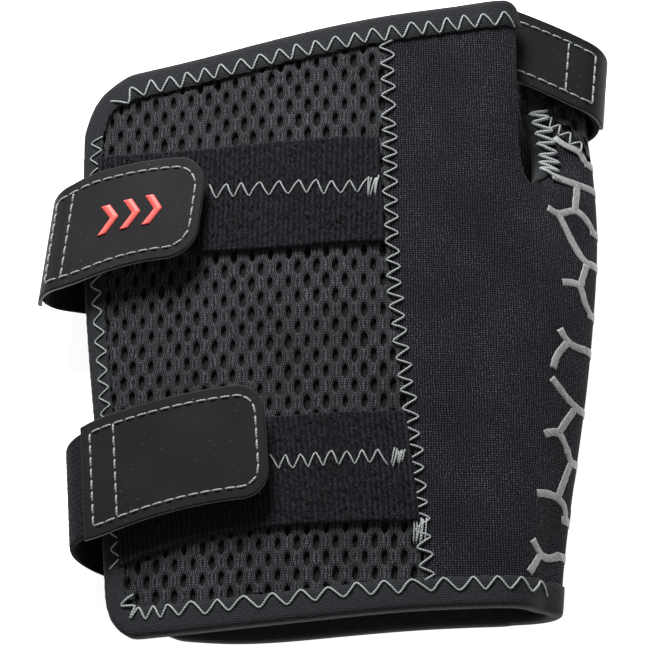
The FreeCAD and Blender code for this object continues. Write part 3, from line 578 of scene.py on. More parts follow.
def plain_cloth(name, low, high):
    """Plain woven cloth between two colours."""
    s = Shader(name, high, 0.85, sheen=0.1)
    threads = s.times(s.ripple(s.x, 0.6), s.ripple(s.y, 0.6))
    s.colour(s.blend(threads, low, high))
    s.bump(threads, 0.6, 0.1)
    return s.material


def stay_material():
    """Brushed aluminium; the CAD piece has no fabric coordinates, so it uses its own position."""
    s = Shader("stay_metal", (0.62, 0.63, 0.65), 0.32)
    s.bsdf.inputs["Metallic"].default_value = 1.0
    position = s.node("ShaderNodeTexCoord").outputs["Object"]
    stretched = s.node("ShaderNodeMapping", (position,)).outputs[0]
    s.nodes[-1].inputs["Scale"].default_value = (4000, 60, 4000)
    brush = s.noise(1.0, 3.0, vector=stretched)
    s.rough(s.curve(brush, 0.3, 0.7, 0.25, 0.45))
    s.bump(brush, 0.2, 0.02)
    return s.material


KNIT, MESH, LINING, DARK = knit_material(), mesh_material(), lining_material(), dark_material()
TAPE, PILE, FIBRE, WEBBING = tape_material(), loop_material(), fibre_material(), webbing_material()
RUBBER, EDGE, HOOK, THREAD = tab_material(), edge_material(), hook_material(), thread_material()
PRINT, MARK, METAL = print_material(), mark_material(), stay_material()
POCKET = plain_cloth("pocket_fabric", (0.01, 0.01, 0.011), (0.03, 0.03, 0.032))


def place(obj, slot, *nodes, body="root", fill=None):
    """A finished piece rides on its body and stands for its CAD nodes; its slot is not used."""
    if body:
        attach(obj, body)
    if nodes:
        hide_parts(*nodes)
    return obj


# ---------------------------------------------------------------- panels
def line_y(points):
    """Y along a plan line as a function of x."""
    points = sorted(points)
    return lambda x: spline_at([p[0] for p in points], [p[1] for p in points], x)


def line_x(points):
    """X along a plan line as a function of y."""
    points = sorted(points, key=lambda p: p[1])
    return lambda y: spline_at([p[1] for p in points], [p[0] for p in points], y)


def corner(before, after):
    """Middle point of the rounded corner between two edges that stop at its ends."""
    (x1, y1), (x2, y2) = before, after
    round_x, round_y = (x1, y2) if abs(x1) > abs(x2) else (x2, y1)
    return ((x1 + x2 + 0.83 * round_x) / 2.83, (y1 + y2 + 0.83 * round_y) / 2.83)


def rounded_left(edge, top, bottom):
    """X of a layer's left side as a function of y, with its two rounded corners."""
    low = smooth_path([bottom[0], corner(bottom[0], edge[0]), edge[0]], 0.8)
    high = smooth_path([edge[-1], corner(edge[-1], top[0]), top[0]], 0.8)
    plan = np.concatenate([low, smooth_path(edge, 0.8), high])
    plan = plan[np.argsort(plan[:, 1])]
    return lambda y: np.interp(y, plan[:, 1], plan[:, 0])


seam_x, bottom_y, back_bottom_y = line_x(SEAM), line_y(BOTTOM), line_y(BACK_BOTTOM)
front_top_y, back_top_y = line_y(FRONT_TOP), line_y(BACK_TOP)
front_left_x = rounded_left(FRONT_EDGE, FRONT_TOP, BOTTOM)
back_left_x = rounded_left(BACK_EDGE, BACK_TOP, BACK_BOTTOM)
INSIDE_TAPE = 1.0                       # a panel stops this far inside its rim


def within(line, low, high):
    """An outline's Y as a function of x, level past two limits."""
    return lambda x: line(np.clip(x, low, high))


palm_low = within(bottom_y, BOTTOM[0][0], BOTTOM[-1][0])
palm_high = within(front_top_y, FRONT_TOP[0][0], FRONT_TOP[-1][0])
back_low = within(back_bottom_y, -42.0, BOTTOM[-1][0])
back_high = within(back_top_y, BACK_TOP[0][0], 66.0)


def hole_ring():
    """Outline of a cell and the matching points of its hole, both unit offsets in millimetres."""
    w, h = CELL_X / 2, CELL_Y / 2
    side = np.linspace(-h, h, 9)
    edge = [(w, y) for y in side[:-1]] + [(w, h), (0, h), (-w, h)]
    edge += [(-w, y) for y in side[::-1][1:-1]] + [(-w, -h), (0, -h)]
    edge = np.array(edge)
    angles = np.arctan2(edge[:, 1] / h * 0.8, edge[:, 0] / w)
    hole = np.stack([np.cos(angles) * HOLE_X, np.sin(angles) * HOLE_Y], 1)
    return edge, hole


def air_mesh(inside, arcs, ys, wrap=None):
    """Perforated top of an air mesh panel over part of the wrap, from staggered cells with real holes."""
    edge, hole = hole_ring()
    count = len(edge)
    rings = [(edge, 1.0, -0.06), (edge * 0.45 + hole * 0.55, 0.55, 0.0), (hole, 0.12, -0.10),
             (hole * 0.93, 0.0, -0.5), (hole * 0.86, 0.0, -1.05)]
    columns = np.arange(math.floor(arcs[0] / CELL_X), math.ceil(arcs[1] / CELL_X) + 1)
    top = Builder()
    for column in columns:
        offset = CELL_Y / 2 if column % 2 else 0.0
        rows = np.arange(math.floor(ys[0] / CELL_Y), math.ceil(ys[1] / CELL_Y) + 1)
        for row in rows:
            a, y = column * CELL_X, row * CELL_Y + offset
            if not inside(a, y):
                continue
            grow = 1 + 0.12 * math.sin(a * 0.31 + y * 0.17) + rng.normal(0, 0.03)
            points, weave = [], []
            for k, (ring, share, lift) in enumerate(rings):
                scale = grow if k else 1.0
                ring_a, ring_y = a + ring[:, 0] * scale, y + ring[:, 1] * scale
                points.append(np.stack([ring_a, ring_y, np.full(count, lift)], 1))
                weave.append(np.stack([ring_a, ring_y, np.full(count, share * 1.15)], 1))
            faces = grid_faces(len(rings), count, closed_columns=True)
            faces.append(tuple((len(rings) - 1) * count + i for i in range(count)))
            top.add(np.concatenate(points), faces, np.concatenate(weave))
    flat = np.concatenate(top.points)
    top.points = [surface(flat[:, 0], flat[:, 1], flat[:, 2], wrap)]
    return top


def panel_body(builder, left, right, low, high, lift_out, lift_in, columns=90, rows=110, wrap=None,
               sunk=None):
    """Closed slab of the panel between two arcs and two Y limits; sunk tells where its face is lowered."""
    share = np.linspace(0, 1, columns)
    climb = np.linspace(0, 1, rows)[:, None]
    y_mid = np.zeros((rows, columns)) - 78 + 160 * climb
    for _ in range(3):
        a = left(y_mid) * (1 - share) + right(y_mid) * share
        x = lookup(a, y_mid, wrap)[..., 0]
        y_mid = low(x) + (high(x) - low(x)) * climb
    a = left(y_mid) * (1 - share) + right(y_mid) * share
    if sunk is not None:
        lift_out = lift_out - PATCH_DROP * sunk(lookup(a, y_mid, wrap))
    outer, inner = surface(a, y_mid, lift_out, wrap), surface(a, y_mid, lift_in, wrap)
    weave = np.stack([a, y_mid, np.zeros_like(a)], -1).reshape(-1, 3)
    points, faces, weave = thicken(outer.reshape(-1, 3), grid_faces(rows, columns),
                                   inner.reshape(-1, 3), weave)
    builder.add(points, faces, weave)
    return a, y_mid


def right_of(left_x, x, y):
    """Whether a cell with its middle at (x, y) lies wholly right of a layer's left side."""
    corners = [left_x(y + up) + CELL_X / 2 + 0.5 for up in (-CELL_Y / 2, CELL_Y / 2)]
    return x > max(left_x(y) + 2.4, *corners)


def palm_inside(a, y):
    """Whether the palm's mesh has a cell at (arc, Y)."""
    x = float(lookup(np.array(a), np.array(y))[0])
    if not -78 < y < 78 or a > 60:
        return False
    return (right_of(front_left_x, x, y) and x < seam_x(y) + 1.0
            and bottom_y(x) + 4.1 < y < front_top_y(x) - 4.3)


def back_inside(a, y):
    """Whether the back's mesh has a cell at (arc, Y)."""
    x = float(lookup(np.array(a), np.array(y))[0])
    return (right_of(back_left_x, x, y) and x < BACK_SEAM_X + 1.0
            and back_low(x) + 4.1 < y < back_high(x) - 4.5)


MESH_FLOOR = -1.02
RING_POINTS, CELL_POINTS = 20, 100       # of each cell of the mesh


def mesh_materials(obj, holes):
    """Yarn on the cells, near-black foam colour with painted shade deep in their holes, and plain lining on
    the body below them.
    """
    for material in (MESH, DARK, LINING):
        obj.data.materials.append(material)
    start = np.zeros(len(obj.data.polygons), np.int32)
    total = np.zeros(len(obj.data.polygons), np.int32)
    obj.data.polygons.foreach_get("loop_start", start)
    obj.data.polygons.foreach_get("loop_total", total)
    corners = np.zeros(len(obj.data.loops), np.int32)
    obj.data.loops.foreach_get("vertex_index", corners)
    first = corners[start]
    ring = (first % CELL_POINTS) // RING_POINTS
    index = np.where(first >= holes, 2, 0)
    # hole walls below half depth and the hole floors take the near-black colour, partly painted shade of
    # the recess
    index[(first < holes) & ((total > 4) | (ring >= 3))] = 1
    obj.data.polygons.foreach_set("material_index", index.astype(np.int32))


def mesh_panel(name, node, inside, arcs, left, right, low, high):
    """Air mesh panel: perforated top over a closed body of foam."""
    builder = air_mesh(inside, arcs, (-84, 90))
    holes = builder.count
    panel_body(builder, left, right, low, high, MESH_FLOOR, -PANEL)
    obj = builder.make(name, None)
    mesh_materials(obj, holes)
    return place(obj, "air_mesh", node, fill=0.35)


mesh_panel("palm_mesh", "front_mesh_panel", palm_inside, (-84, 6),
           lambda y: palm_arc(front_left_x(y) + INSIDE_TAPE, y),
           lambda y: palm_arc(seam_x(y), y),
           lambda x: palm_low(x) + INSIDE_TAPE,
           lambda x: palm_high(x) - INSIDE_TAPE)
mesh_panel("back_mesh", "back_mesh_panel", back_inside, (84, 196),
           lambda y: back_arc(back_left_x(y) + INSIDE_TAPE, y),
           lambda y: back_arc(BACK_SEAM_X, y),
           lambda x: back_low(x) + INSIDE_TAPE,
           lambda x: back_high(x) - INSIDE_TAPE)

# The knit side runs from the palm seam round the thumb side to the back seam, with the thumb hole in it.
HOLE_EDGE, HAND_CORNER = 48.6, 3.0
HOLE_LEFT = [(HOLE_FOOT, 52.2), (35.6, 51.2), (37.5, 50.2), (40.5, 49.4), (45.0, 48.9), (52.0, HOLE_EDGE),
             (110.0, HOLE_EDGE)]
HOLE_RIGHT = [(HOLE_FOOT, 52.2), (35.6, 52.7), (38.0, 53.0), (42.0, 53.3), (46.0, 53.2), (51.0, 52.4),
              (56.0, 51.2), (62.0, 50.2), (75.0, 49.6), (110.0, 49.6)]
KNIT_LIFT = 0.12


def hole_side(points, y):
    """X of one side of the thumb hole at Y."""
    y = np.maximum(y, points[0][0])
    return np.interp(y, [p[0] for p in points], [p[1] for p in points])


def hand_corner(x):
    """Drop of the palm's hand end where it rounds into the thumb hole's edge."""
    into = np.clip(x - (HOLE_EDGE - HAND_CORNER), 0, HAND_CORNER)
    return HAND_CORNER - np.sqrt(HAND_CORNER ** 2 - into ** 2)


def knit_blocks():
    """The knit side in two blocks, one on each side of the thumb hole."""
    builder = Builder()
    left_arc = lambda y: palm_arc(seam_x(y) - 0.4, y)
    mid_left = lambda y: palm_arc(hole_side(HOLE_LEFT, y), y)
    mid_right = lambda y: palm_arc(hole_side(HOLE_RIGHT, y) + 0.5 * smooth_step(HOLE_FOOT, 37.0, y), y,
                                   THUMB_SIDE)
    low = lambda x: palm_low(x) + INSIDE_TAPE
    panel_body(builder, left_arc, mid_left, low,
               lambda x: palm_high(x) - hand_corner(x) - INSIDE_TAPE, KNIT_LIFT, -PANEL, 90, 220)
    panel_body(builder, mid_right, lambda y: back_arc(BACK_SEAM_X - 0.4, y), low,
               lambda x: back_high(x) - INSIDE_TAPE, KNIT_LIFT, -PANEL, 130, 240,
               THUMB_SIDE, patch_share)
    return builder


# Above this line on the thumb side the wrap is air mesh again, laid on the foam in place of the knit.
PATCH_FLOOR = 4.0                       # lowest z of the patch
PATCH_DROP = 1.15                       # the knit is sunk this much under the patch


def patch_edge(x):
    """Y of the patch's lower border."""
    return 53.6 - 0.885 * (x - 57.1)


def patch_share(points):
    """1 where the mesh patch lies, falling to 0 across its border."""
    above = smooth_step(0.0, 0.8, points[..., 1] - patch_edge(points[..., 0]))
    return above * smooth_step(PATCH_FLOOR - 1.2, PATCH_FLOOR, points[..., 2])


def patch_inside(a, y):
    """Whether the patch has a cell at (arc, Y)."""
    x, _, z = lookup(np.array(a), np.array(y), THUMB_SIDE)
    return (y > patch_edge(x) + 2.4 and z > PATCH_FLOOR + 0.4 and x > hole_side(HOLE_RIGHT, y) + 2.6
            and y < back_high(x) - 3.5)


patch = air_mesh(patch_inside, (30, 90), (40, 90), THUMB_SIDE)
patch_cells = patch.count
patch = patch.make("thumb_mesh", None)
mesh_materials(patch, patch_cells)
place(patch, "air_mesh")

knit = knit_blocks().make("side_knit", KNIT)
place(knit, "neoprene_knit", "side_knit_panel", fill=0.5)

# ---------------------------------------------------------------- binding tape
def in_arcs(points, find):
    """Plan points (x, Y) as (arc, Y)."""
    points = np.asarray(points, float)
    return np.stack([find(points[:, 0], points[:, 1]), points[:, 1]], 1)


def side_path(points, find, step=0.6):
    """Smooth path through plan points, as (arc, Y)."""
    return in_arcs(smooth_path(points, step), find)


def rim_path():
    """The whole rim in (arc, Y): palm hand end, palm edge, forearm end, back edge, back hand end."""
    top, edge = FRONT_TOP[::-1], FRONT_EDGE[::-1]
    runs = [side_path([(HOLE_EDGE + 0.1, 84.3)] + top[1:], palm_arc)]
    runs.append(side_path([top[-1], corner(edge[0], top[-1]), edge[0]], palm_arc)[1:])
    runs.append(side_path(edge, palm_arc)[1:])
    runs.append(side_path([edge[-1], corner(BOTTOM[0], edge[-1]), BOTTOM[0]], palm_arc)[1:])
    runs.append(side_path(BOTTOM, palm_arc)[1:])
    back = side_path(BACK_BOTTOM[::-1], back_arc)
    front_end, back_start = runs[-1][-1], back[0]
    turn = np.linspace(0, 1, 40)[1:-1, None]
    runs.append(front_end * (1 - turn) + back_start * turn)
    runs.append(back)
    runs.append(side_path([BACK_BOTTOM[0], corner(BACK_BOTTOM[0], BACK_EDGE[0]), BACK_EDGE[0]],
                          back_arc)[1:])
    runs.append(side_path(BACK_EDGE, back_arc)[1:])
    runs.append(side_path([BACK_EDGE[-1], corner(BACK_EDGE[-1], BACK_TOP[0]), BACK_TOP[0]], back_arc)[1:])
    runs.append(side_path(BACK_TOP[:-1], back_arc)[1:])
    low, high = runs[-1][-1], np.array([float(palm_arc(49.8, 73.0, THUMB_SIDE)), 73.0])
    turn = np.linspace(0, 1, 60)[1:, None]
    bend = np.sin(turn * math.pi) * np.array([0, 1.0])
    runs.append(low * (1 - turn) + high * turn + bend)
    path = resample(np.concatenate(runs), 0.45)
    for _ in range(12):
        path[1:-1] = path[1:-1] * 0.5 + (path[:-2] + path[2:]) * 0.25
    return path


def left_normal(path):
    """Unit vectors to the left of a path of (arc, Y)."""
    tangent = np.gradient(path, axis=0)
    tangent /= np.linalg.norm(tangent, axis=1, keepdims=True)
    return np.stack([-tangent[:, 1], tangent[:, 0]], 1)


def tape_profile(width):
    """Closed section of the folded tape as (share of width or millimetres in, lift)."""
    deep = -PANEL
    outer = [(width, 0.3), (width - 0.03, 0.55), (width - 0.3, 0.70), (width * 0.75, 0.74),
             (width * 0.5, 0.75), (width * 0.25, 0.75), (1.1, 0.72), (0.42, 0.5), (0.1, 0.05), (0, -0.6),
             (0, -1.3), (0, deep + 0.6), (0.1, deep - 0.05), (0.42, deep - 0.5), (1.1, deep - 0.72),
             (width * 0.5, deep - 0.75), (width - 0.3, deep - 0.7), (width - 0.03, deep - 0.55),
             (width, deep - 0.25)]
    inner = [(width - 0.1, deep - 0.15), (1.0, deep - 0.15), (0.8, deep + 0.3), (0.8, -0.3), (1.0, 0.15),
             (width - 0.1, 0.15)]
    return np.array(outer + inner)


def tape_piece(name, path, width, nodes, wrap=None, drop=None):
    """Folded tape along a rim path; drop moves its outer edge in, to round an end."""
    normal = left_normal(path)
    along = lengths_along(path)
    wave = 0.14 * np.sin(along * 0.9) + 0.10 * np.sin(along * 2.3 + 1.0) + rng.normal(0, 0.03, len(along))
    rows, weave = [], []
    for i, (point, inward) in enumerate(zip(path, normal)):
        profile = tape_profile(width[i] + wave[i])
        if drop is not None:
            profile[:, 0] = drop[i] + profile[:, 0] * (1 - drop[i] / width[i])
        a = point[0] + inward[0] * profile[:, 0]
        y = point[1] + inward[1] * profile[:, 0]
        rows.append(np.stack([a, y, profile[:, 1]], 1))
        weave.append(np.stack([np.full(len(profile), along[i]), lengths_along(profile), profile[:, 1]], 1))
    rows = np.array(rows)
    points = surface(rows[..., 0], rows[..., 1], rows[..., 2], wrap)
    count = rows.shape[1]
    faces = grid_faces(len(rows), count, closed_columns=True)
    faces.append(tuple(reversed(range(count))))
    faces.append(tuple(range((len(rows) - 1) * count, len(rows) * count)))
    builder = Builder()
    builder.add(points, faces, np.array(weave))
    return place(builder.make(name, TAPE), "binding_tape", *nodes)


END_TAPE, EDGE_TAPE, THUMB_TAPE = 7.4, 5.4, 4.2
rim = rim_path()


def rim_width(path):
    """Wider tape at the two ends than along the free edges."""
    normal = left_normal(path)
    side = smooth_step(0.35, 0.9, abs(normal[:, 0]))
    return END_TAPE + (EDGE_TAPE - END_TAPE) * side


widths = rim_width(rim)
half_way = int(len(rim) * 0.5)
end_x = lookup(rim[:half_way, 0], rim[:half_way, 1])[:, 0]
end_drop = hand_corner(end_x) * (rim[:half_way, 1] > 80)
tape_piece("palm_binding", rim[:half_way], widths[:half_way],
           ("hand_end_binding_front", "forearm_end_binding_front", "front_edge_binding"), drop=end_drop)
tape_piece("back_binding", rim[half_way - 1:], widths[half_way - 1:],
           ("hand_end_binding_back", "forearm_end_binding_back", "back_edge_binding"), THUMB_SIDE)


def thumb_arc(x, y):
    """Arc length at a plan point on the thumb side's own surface."""
    return palm_arc(x, y, THUMB_SIDE)


thumb_path = side_path([(x, y) for y, x in HOLE_RIGHT[-2:1:-1]] + [(52.7, 36.2)], thumb_arc, 0.45)
thumb_width = 0.8 + (THUMB_TAPE - 0.8) * smooth_step(35.8, 42.0, thumb_path[:, 1])
tape_piece("thumb_rim", thumb_path, thumb_width, ("thumb_hole_binding",), THUMB_SIDE)


# ---------------------------------------------------------------- sewn threads
def zigzag_path(line, width, pitch, jitter=0.12, bunch=None):
    """Corners of a zigzag along a line of (arc, Y), with a little unevenness; bunch slows it locally."""
    line = resample(line, 0.25)
    normal = left_normal(line)
    steps = lengths_along(line)
    corners, at, side = [], pitch / 4, 1
    while at < steps[-1]:
        point = np.array([np.interp(at, steps, line[:, k]) for k in (0, 1)])
        across = np.array([np.interp(at, steps, normal[:, k]) for k in (0, 1)])
        corners.append(point + across * side * width / 2 * (1 + rng.normal(0, 0.07)))
        local = pitch / 2 * (1 + rng.normal(0, jitter))
        if bunch is not None:
            local *= bunch(point)
        at += local
        side = -side
    return np.array(corners)


def sew(builder, corners, lift, radius=0.22, dip=0.12, arch=0.28, wrap=None):
    """One continuous thread through the corners, rising between them and sinking at each."""
    path = []
    for a, b in zip(corners, corners[1:]):
        share = np.linspace(0, 1, 7)[:-1]
        sag = (b - a)[::-1] * np.array([-1, 1]) * rng.normal(0, 0.025)
        for t in share:
            flat = a * (1 - t) + b * t + sag * math.sin(math.pi * t)
            path.append((*flat, lift - dip + (arch + dip) * math.sin(math.pi * t) ** 0.6))
    path.append((*corners[-1], lift - dip))
    path = np.array(path)
    for _ in range(2):
        path[1:-1] = path[1:-1] * 0.6 + (path[:-2] + path[2:]) * 0.2
    tube(builder, surface(path[:, 0], path[:, 1], path[:, 2], wrap), radius, 7)


def plan_line(points):
    """Smooth line through plan points on the palm, as (arc, Y)."""
    return side_path(points, palm_arc, 0.5)


def nearest_rim(x, y, find):
    """Index of the rim's point nearest to a plan point."""
    target = np.array([float(find(x, y)), y])
    return int(np.argmin(np.linalg.norm(rim - target, axis=1)))


seams = Builder()
seam_plan = [(15.4, 73.0)] + [p for p in SEAM if -66 < p[1] < 66] + [(24.8, -70.5)]
sew(seams, zigzag_path(plan_line(seam_plan), 4.3, 4.3), 0.28, 0.25)
place(seams.make("seam_thread", THREAD), "thread", "panel_seam_stitching")

TAPE_LIFT = 0.78                        # threads on the tape stand this far over the panels' face


def rim_line(depth, first, last):
    """Part of a line that runs inside the rim at a depth."""
    return (rim + left_normal(rim) * depth)[first:last]


tape_threads = Builder()
hand_line = rim_line(5.2, 2, nearest_rim(-58.0, 61.5, palm_arc))
sew(tape_threads, zigzag_path(hand_line, 4.4, 5.0), TAPE_LIFT, 0.26)
side_line = rim_line(3.5, nearest_rim(-61.8, 53.0, palm_arc), nearest_rim(-53.4, -64.0, palm_arc))
sew(tape_threads, zigzag_path(side_line, 3.2, 4.9), TAPE_LIFT, 0.2)


def bunched(point):
    """Shorter steps where the zigzag is crowded round the palm's forearm corner."""
    return 0.55 if point[0] < -58 and point[1] < -66 else 1.0


bottom_line = rim_line(5.6, nearest_rim(-52.6, -68.0, palm_arc), nearest_rim(55.2, -73.7, palm_arc))
sew(tape_threads, zigzag_path(bottom_line, 3.9, 6.6, bunch=bunched), TAPE_LIFT, 0.26)
back_line = rim_line(5.2, nearest_rim(50.0, -74.0, back_arc), -60)
sew(tape_threads, zigzag_path(back_line, 4.0, 6.2), 0.62, 0.12, 0.05, 0.1)
place(tape_threads.make("binding_thread", THREAD), "thread", "binding_stitching")

# Thick overlocking loops round the thumb hole's rim, and a second zigzag between mesh and knit beside it
thumb_threads = Builder()
inward = left_normal(thumb_path)
loop_line = (thumb_path + inward * 3.7)[36:-6]
sew(thumb_threads, zigzag_path(loop_line, 6.0, 2.9, 0.16), 0.72, 0.46, 0.1, 0.55, THUMB_SIDE)
patch_plan = [(x, float(patch_edge(x)) + 1.9) for x in np.linspace(56.6, 66.4, 20)]
patch_line = zigzag_path(side_path(patch_plan, thumb_arc, 0.5), 3.6, 2.9)
sew(thumb_threads, patch_line, 0.42, 0.24, 0.12, 0.3, THUMB_SIDE)
place(thumb_threads.make("thumb_thread", THREAD), "thread")


# ---------------------------------------------------------------- loop strips
def spaced(count, edge):
    """Values from 0 to 1 that crowd at both ends, for a rounded border."""
    even = np.linspace(0, 1, count)
    return (1 - edge) * even + edge * (1 - np.cos(np.pi * even)) / 2


def slab(builder, place_at, n_u, n_w, thickness, bevel, base=0.0, rough=0.0, ribs=None, flip=False):
    """Closed pad: place_at(u, w, lift) gives its points, and its border is rounded by bevel."""
    u, w = np.meshgrid(spaced(n_u, 0.55), spaced(n_w, 0.55) * 2 - 1, indexing="ij")
    flat = place_at(u, w, np.zeros_like(u) + base)
    along = np.zeros_like(u)
    along[1:] = np.cumsum(np.linalg.norm(np.diff(flat, axis=0), axis=2), axis=0)
    across = np.zeros_like(u)
    across[:, 1:] = np.cumsum(np.linalg.norm(np.diff(flat, axis=1), axis=2), axis=1)
    edge = np.minimum(np.minimum(along, along[-1:] - along), np.minimum(across, across[:, -1:] - across))
    inside = np.clip(bevel - edge, 0, bevel)
    lift = thickness - bevel + np.sqrt(np.maximum(bevel ** 2 - inside ** 2, 0))
    weave = np.stack([along, across, np.zeros_like(along)], -1)
    if ribs is not None:
        lift = lift + ribs(along, across) * smooth_step(0, 1.5, edge)
    if rough:
        lift = lift + rng.normal(0, rough, lift.shape)
    top = place_at(u, w, base + lift)
    faces = grid_faces(n_u, n_w)
    if flip:
        faces = [tuple(reversed(face)) for face in faces]
    points, faces, weave = thicken(top.reshape(-1, 3), faces, flat.reshape(-1, 3), weave.reshape(-1, 3))
    builder.add(points, faces, weave)
    return flat, lift


def strip_place(left, right, low, high):
    """Patch on the palm between x limits (functions of share up) and Y limits (functions of x)."""
    def at(u, w, lift):
        up = (w + 1) / 2
        x = left(up) * (1 - u) + right(up) * u
        y = low(x) * (1 - up) + high(x) * up
        return surface(palm_arc(x, y), y, lift)
    return at


def fibres(builder, at, count, lift, length, spread, size, margin=0.02):
    """Short curled hairs lying over a pad of the given size, mostly along one direction."""
    t = np.linspace(-0.5, 0.5, 5)[None]
    u = rng.uniform(margin, 1 - margin, (count, 1))
    w = rng.uniform(-1 + margin, 1 - margin, (count, 1))
    heading = rng.normal(math.pi / 2, spread, (count, 1)) + rng.normal(0, 1.0, (count, 1)) * t
    reach = rng.uniform(0.5, 1.0, (count, 1)) * length
    us = np.clip(u + np.cos(heading) * t * reach / size[0], 0, 1)
    ws = np.clip(w + np.sin(heading) * t * reach / size[1] * 2, -1, 1)
    rise = lift + rng.uniform(0.05, 0.45, (count, 1)) * np.cos(math.pi * t) - 0.1
    for path in at(us, ws, rise):
        tube(builder, path, 0.055, 3)


PILE_HEIGHT = 1.15
upper_at = strip_place(lambda up: -58.6 + 0.6 * up, lambda up: 14.9 - 1.5 * up,
                       lambda x: 17.0 + 0.4 * np.sin(x * 0.12), lambda x: 45.2 + 0.3 * np.sin(x * 0.1 + 1))
LOWER_STRIP_SAG = [(-55, -65.0), (-46, -60.5), (-30, -56.0), (-11, -54.3), (23, -53.6)]
lower_at = strip_place(lambda up: -50.0 - 3.4 * up, lambda up: 22.9 - 3.3 * up,
                       lambda x: np.interp(x, *np.transpose(LOWER_STRIP_SAG)),
                       lambda x: -26.3 + 0.3 * np.sin(x * 0.13))


def pile_ribs(along, across):
    """Height of the loop pile's upright ribs."""
    return 0.10 * np.cos(along * 2 * math.pi / 1.25 + 0.5 * np.sin(across * 0.9)) - 0.05


for strip_node, strip_at, hairs in (("upper_loop_strip", upper_at, 3200),
                                    ("lower_loop_strip", lower_at, 3400)):
    strip_name = strip_node + "_pile"
    strip = Builder()
    slab(strip, strip_at, 200, 90, PILE_HEIGHT, 0.7, 0.02, 0.06, pile_ribs)
    place(strip.make(strip_name, PILE), "loop_pile", strip_node)
    hair = Builder()
    fibres(hair, strip_at, hairs, PILE_HEIGHT + 0.05, 2.6, 0.45, (75.0, 28.0))
    place(hair.make(strip_name + "_hairs", FIBRE), "loop_pile")

strip_threads = Builder()
sew(strip_threads, zigzag_path(plan_line([(-30.0, 32.9), (-10.0, 32.4), (10.8, 31.7)]), 4.4, 4.4),
    PILE_HEIGHT, 0.22)
sew(strip_threads, zigzag_path(plan_line([(-14.0, -38.6), (2.0, -38.0), (16.2, -37.8)]), 4.2, 3.9),
    PILE_HEIGHT, 0.22)
place(strip_threads.make("loop_strip_thread", THREAD), "thread", "loop_strip_stitching")

tacks = Builder()


def tack(x, y, length, width, lift, rows, lean=0.0):
    """Dense bar of stitches side by side, each a little uneven."""
    for i in range(rows):
        row_x = x - length / 2 + length * (i + 0.5) / rows
        ends = np.array([(row_x - lean + rng.normal(0, 0.25), y - width / 2 + rng.normal(0, 0.35)),
                         (row_x + lean + rng.normal(0, 0.25), y + width / 2 + rng.normal(0, 0.35))])
        line = in_arcs(ends, palm_arc)
        share = np.linspace(0, 1, 7)[:, None]
        path = line[0] * (1 - share) + line[1] * share
        rise = lift + 0.28 * np.sin(np.linspace(0, math.pi, 7)) ** 0.5
        tube(tacks, surface(path[:, 0], path[:, 1], rise), 0.19, 6)


tack(12.0, 31.8, 2.6, 4.6, PILE_HEIGHT, 6, 0.25)
tack(17.6, -37.9, 3.0, 3.6, PILE_HEIGHT, 7, 0.35)
tack(22.6, -56.0, 3.4, 6.0, 0.35, 6, 0.3)
place(tacks.make("bar_tack_threads", THREAD), "thread", "bar_tacks")

# ---------------------------------------------------------------- honeycomb print
PRINT_RISE, PRINT_HALF = 0.22, 0.98


def print_wall(builder, path):
    """Raised ribbon of the print along (arc, Y), with rounded sides and uneven width."""
    path = resample(path, 0.7)
    normal = left_normal(path)
    side = [(-1.0, -0.05), (-0.92, 0.65), (-0.7, 0.97)]
    profile = side + [(0, 1.0)] + [(-w, h) for w, h in side[::-1]]
    rows, weave = [], []
    for i, point in enumerate(path):
        half = PRINT_HALF * (1 + rng.normal(0, 0.04))
        rows.append([(point[0] + normal[i, 0] * half * w, point[1] + normal[i, 1] * half * w,
                      KNIT_LIFT + PRINT_RISE * h) for w, h in profile])
        weave.append([(point[0] + w, point[1], h) for w, h in profile])
    rows = np.array(rows)
    faces = grid_faces(len(rows), len(profile))
    points = surface(rows[..., 0], rows[..., 1], rows[..., 2]).reshape(-1, 3)
    under = surface(rows[..., 0], rows[..., 1], np.full(rows.shape[:2], 0.0)).reshape(-1, 3)
    points, faces, weave = thicken(points, faces, under, np.array(weave).reshape(-1, 3))
    builder.add(points, [tuple(reversed(face)) for face in faces], weave)


def apex_arc(y):
    """Arc length of the fold's outermost line at Y."""
    row = int(np.clip((y - ROWS[0]) / ROW_STEP, 0, len(ROWS) - 1))
    return ARCS[int(np.argmax(WRAP[row, :, 0]))]


# Walls of the cells as lines of (millimetres past the fold's outermost line, Y), on the palm side of it.
PRINT_LINES = [
    [(-12.4, 51.0), (-9.4, 48.5), (-6.5, 47.0), (-5.1, 44.0)],
    [(-15.4, 39.0), (-8.7, 37.5), (-5.2, 37.0)],
    [(-8.7, 37.5), (-9.8, 30.0)],
    [(-18.1, 29.5), (-14.8, 28.5), (-9.8, 30.0), (-6.6, 28.0), (-4.2, 25.0)],
    [(-14.8, 28.5), (-11.8, 22.5), (-6.7, 16.0), (-3.0, 16.0)],
    [(-6.7, 15.5), (-8.5, 9.0)],
    [(-13.8, 9.5), (-8.5, 9.0), (-6.7, 5.5), (-4.1, 2.5)],
    [(-14.2, -3.0), (-11.2, -6.0), (-5.4, -7.0)],
    [(-11.2, -6.0), (-14.7, -11.5), (-14.7, -13.5)],
    [(-15.2, -16.0), (-6.3, -22.0), (-5.1, -22.5)],
    [(-6.3, -22.2), (-10.8, -29.5)],
    [(-15.3, -30.5), (-10.8, -29.5), (-7.5, -32.5), (-5.1, -36.0)],
    [(-5.1, -36.0), (-7.7, -45.5)],
    [(-15.0, -45.5), (-7.7, -45.5), (-5.0, -47.5), (-4.0, -50.5)],
    [(-15.4, -57.0), (-12.0, -60.0), (-8.2, -60.5), (-5.2, -59.5)],
    [(-12.0, -60.2), (-15.6, -65.4)],
]
CROSSING_Y = (44.0, 37.0, 25.0, 16.0, 2.5, -7.0, -22.5, -36.0, -50.5, -59.5)
CROSSING_RUNS = (-5.6, 2.0)
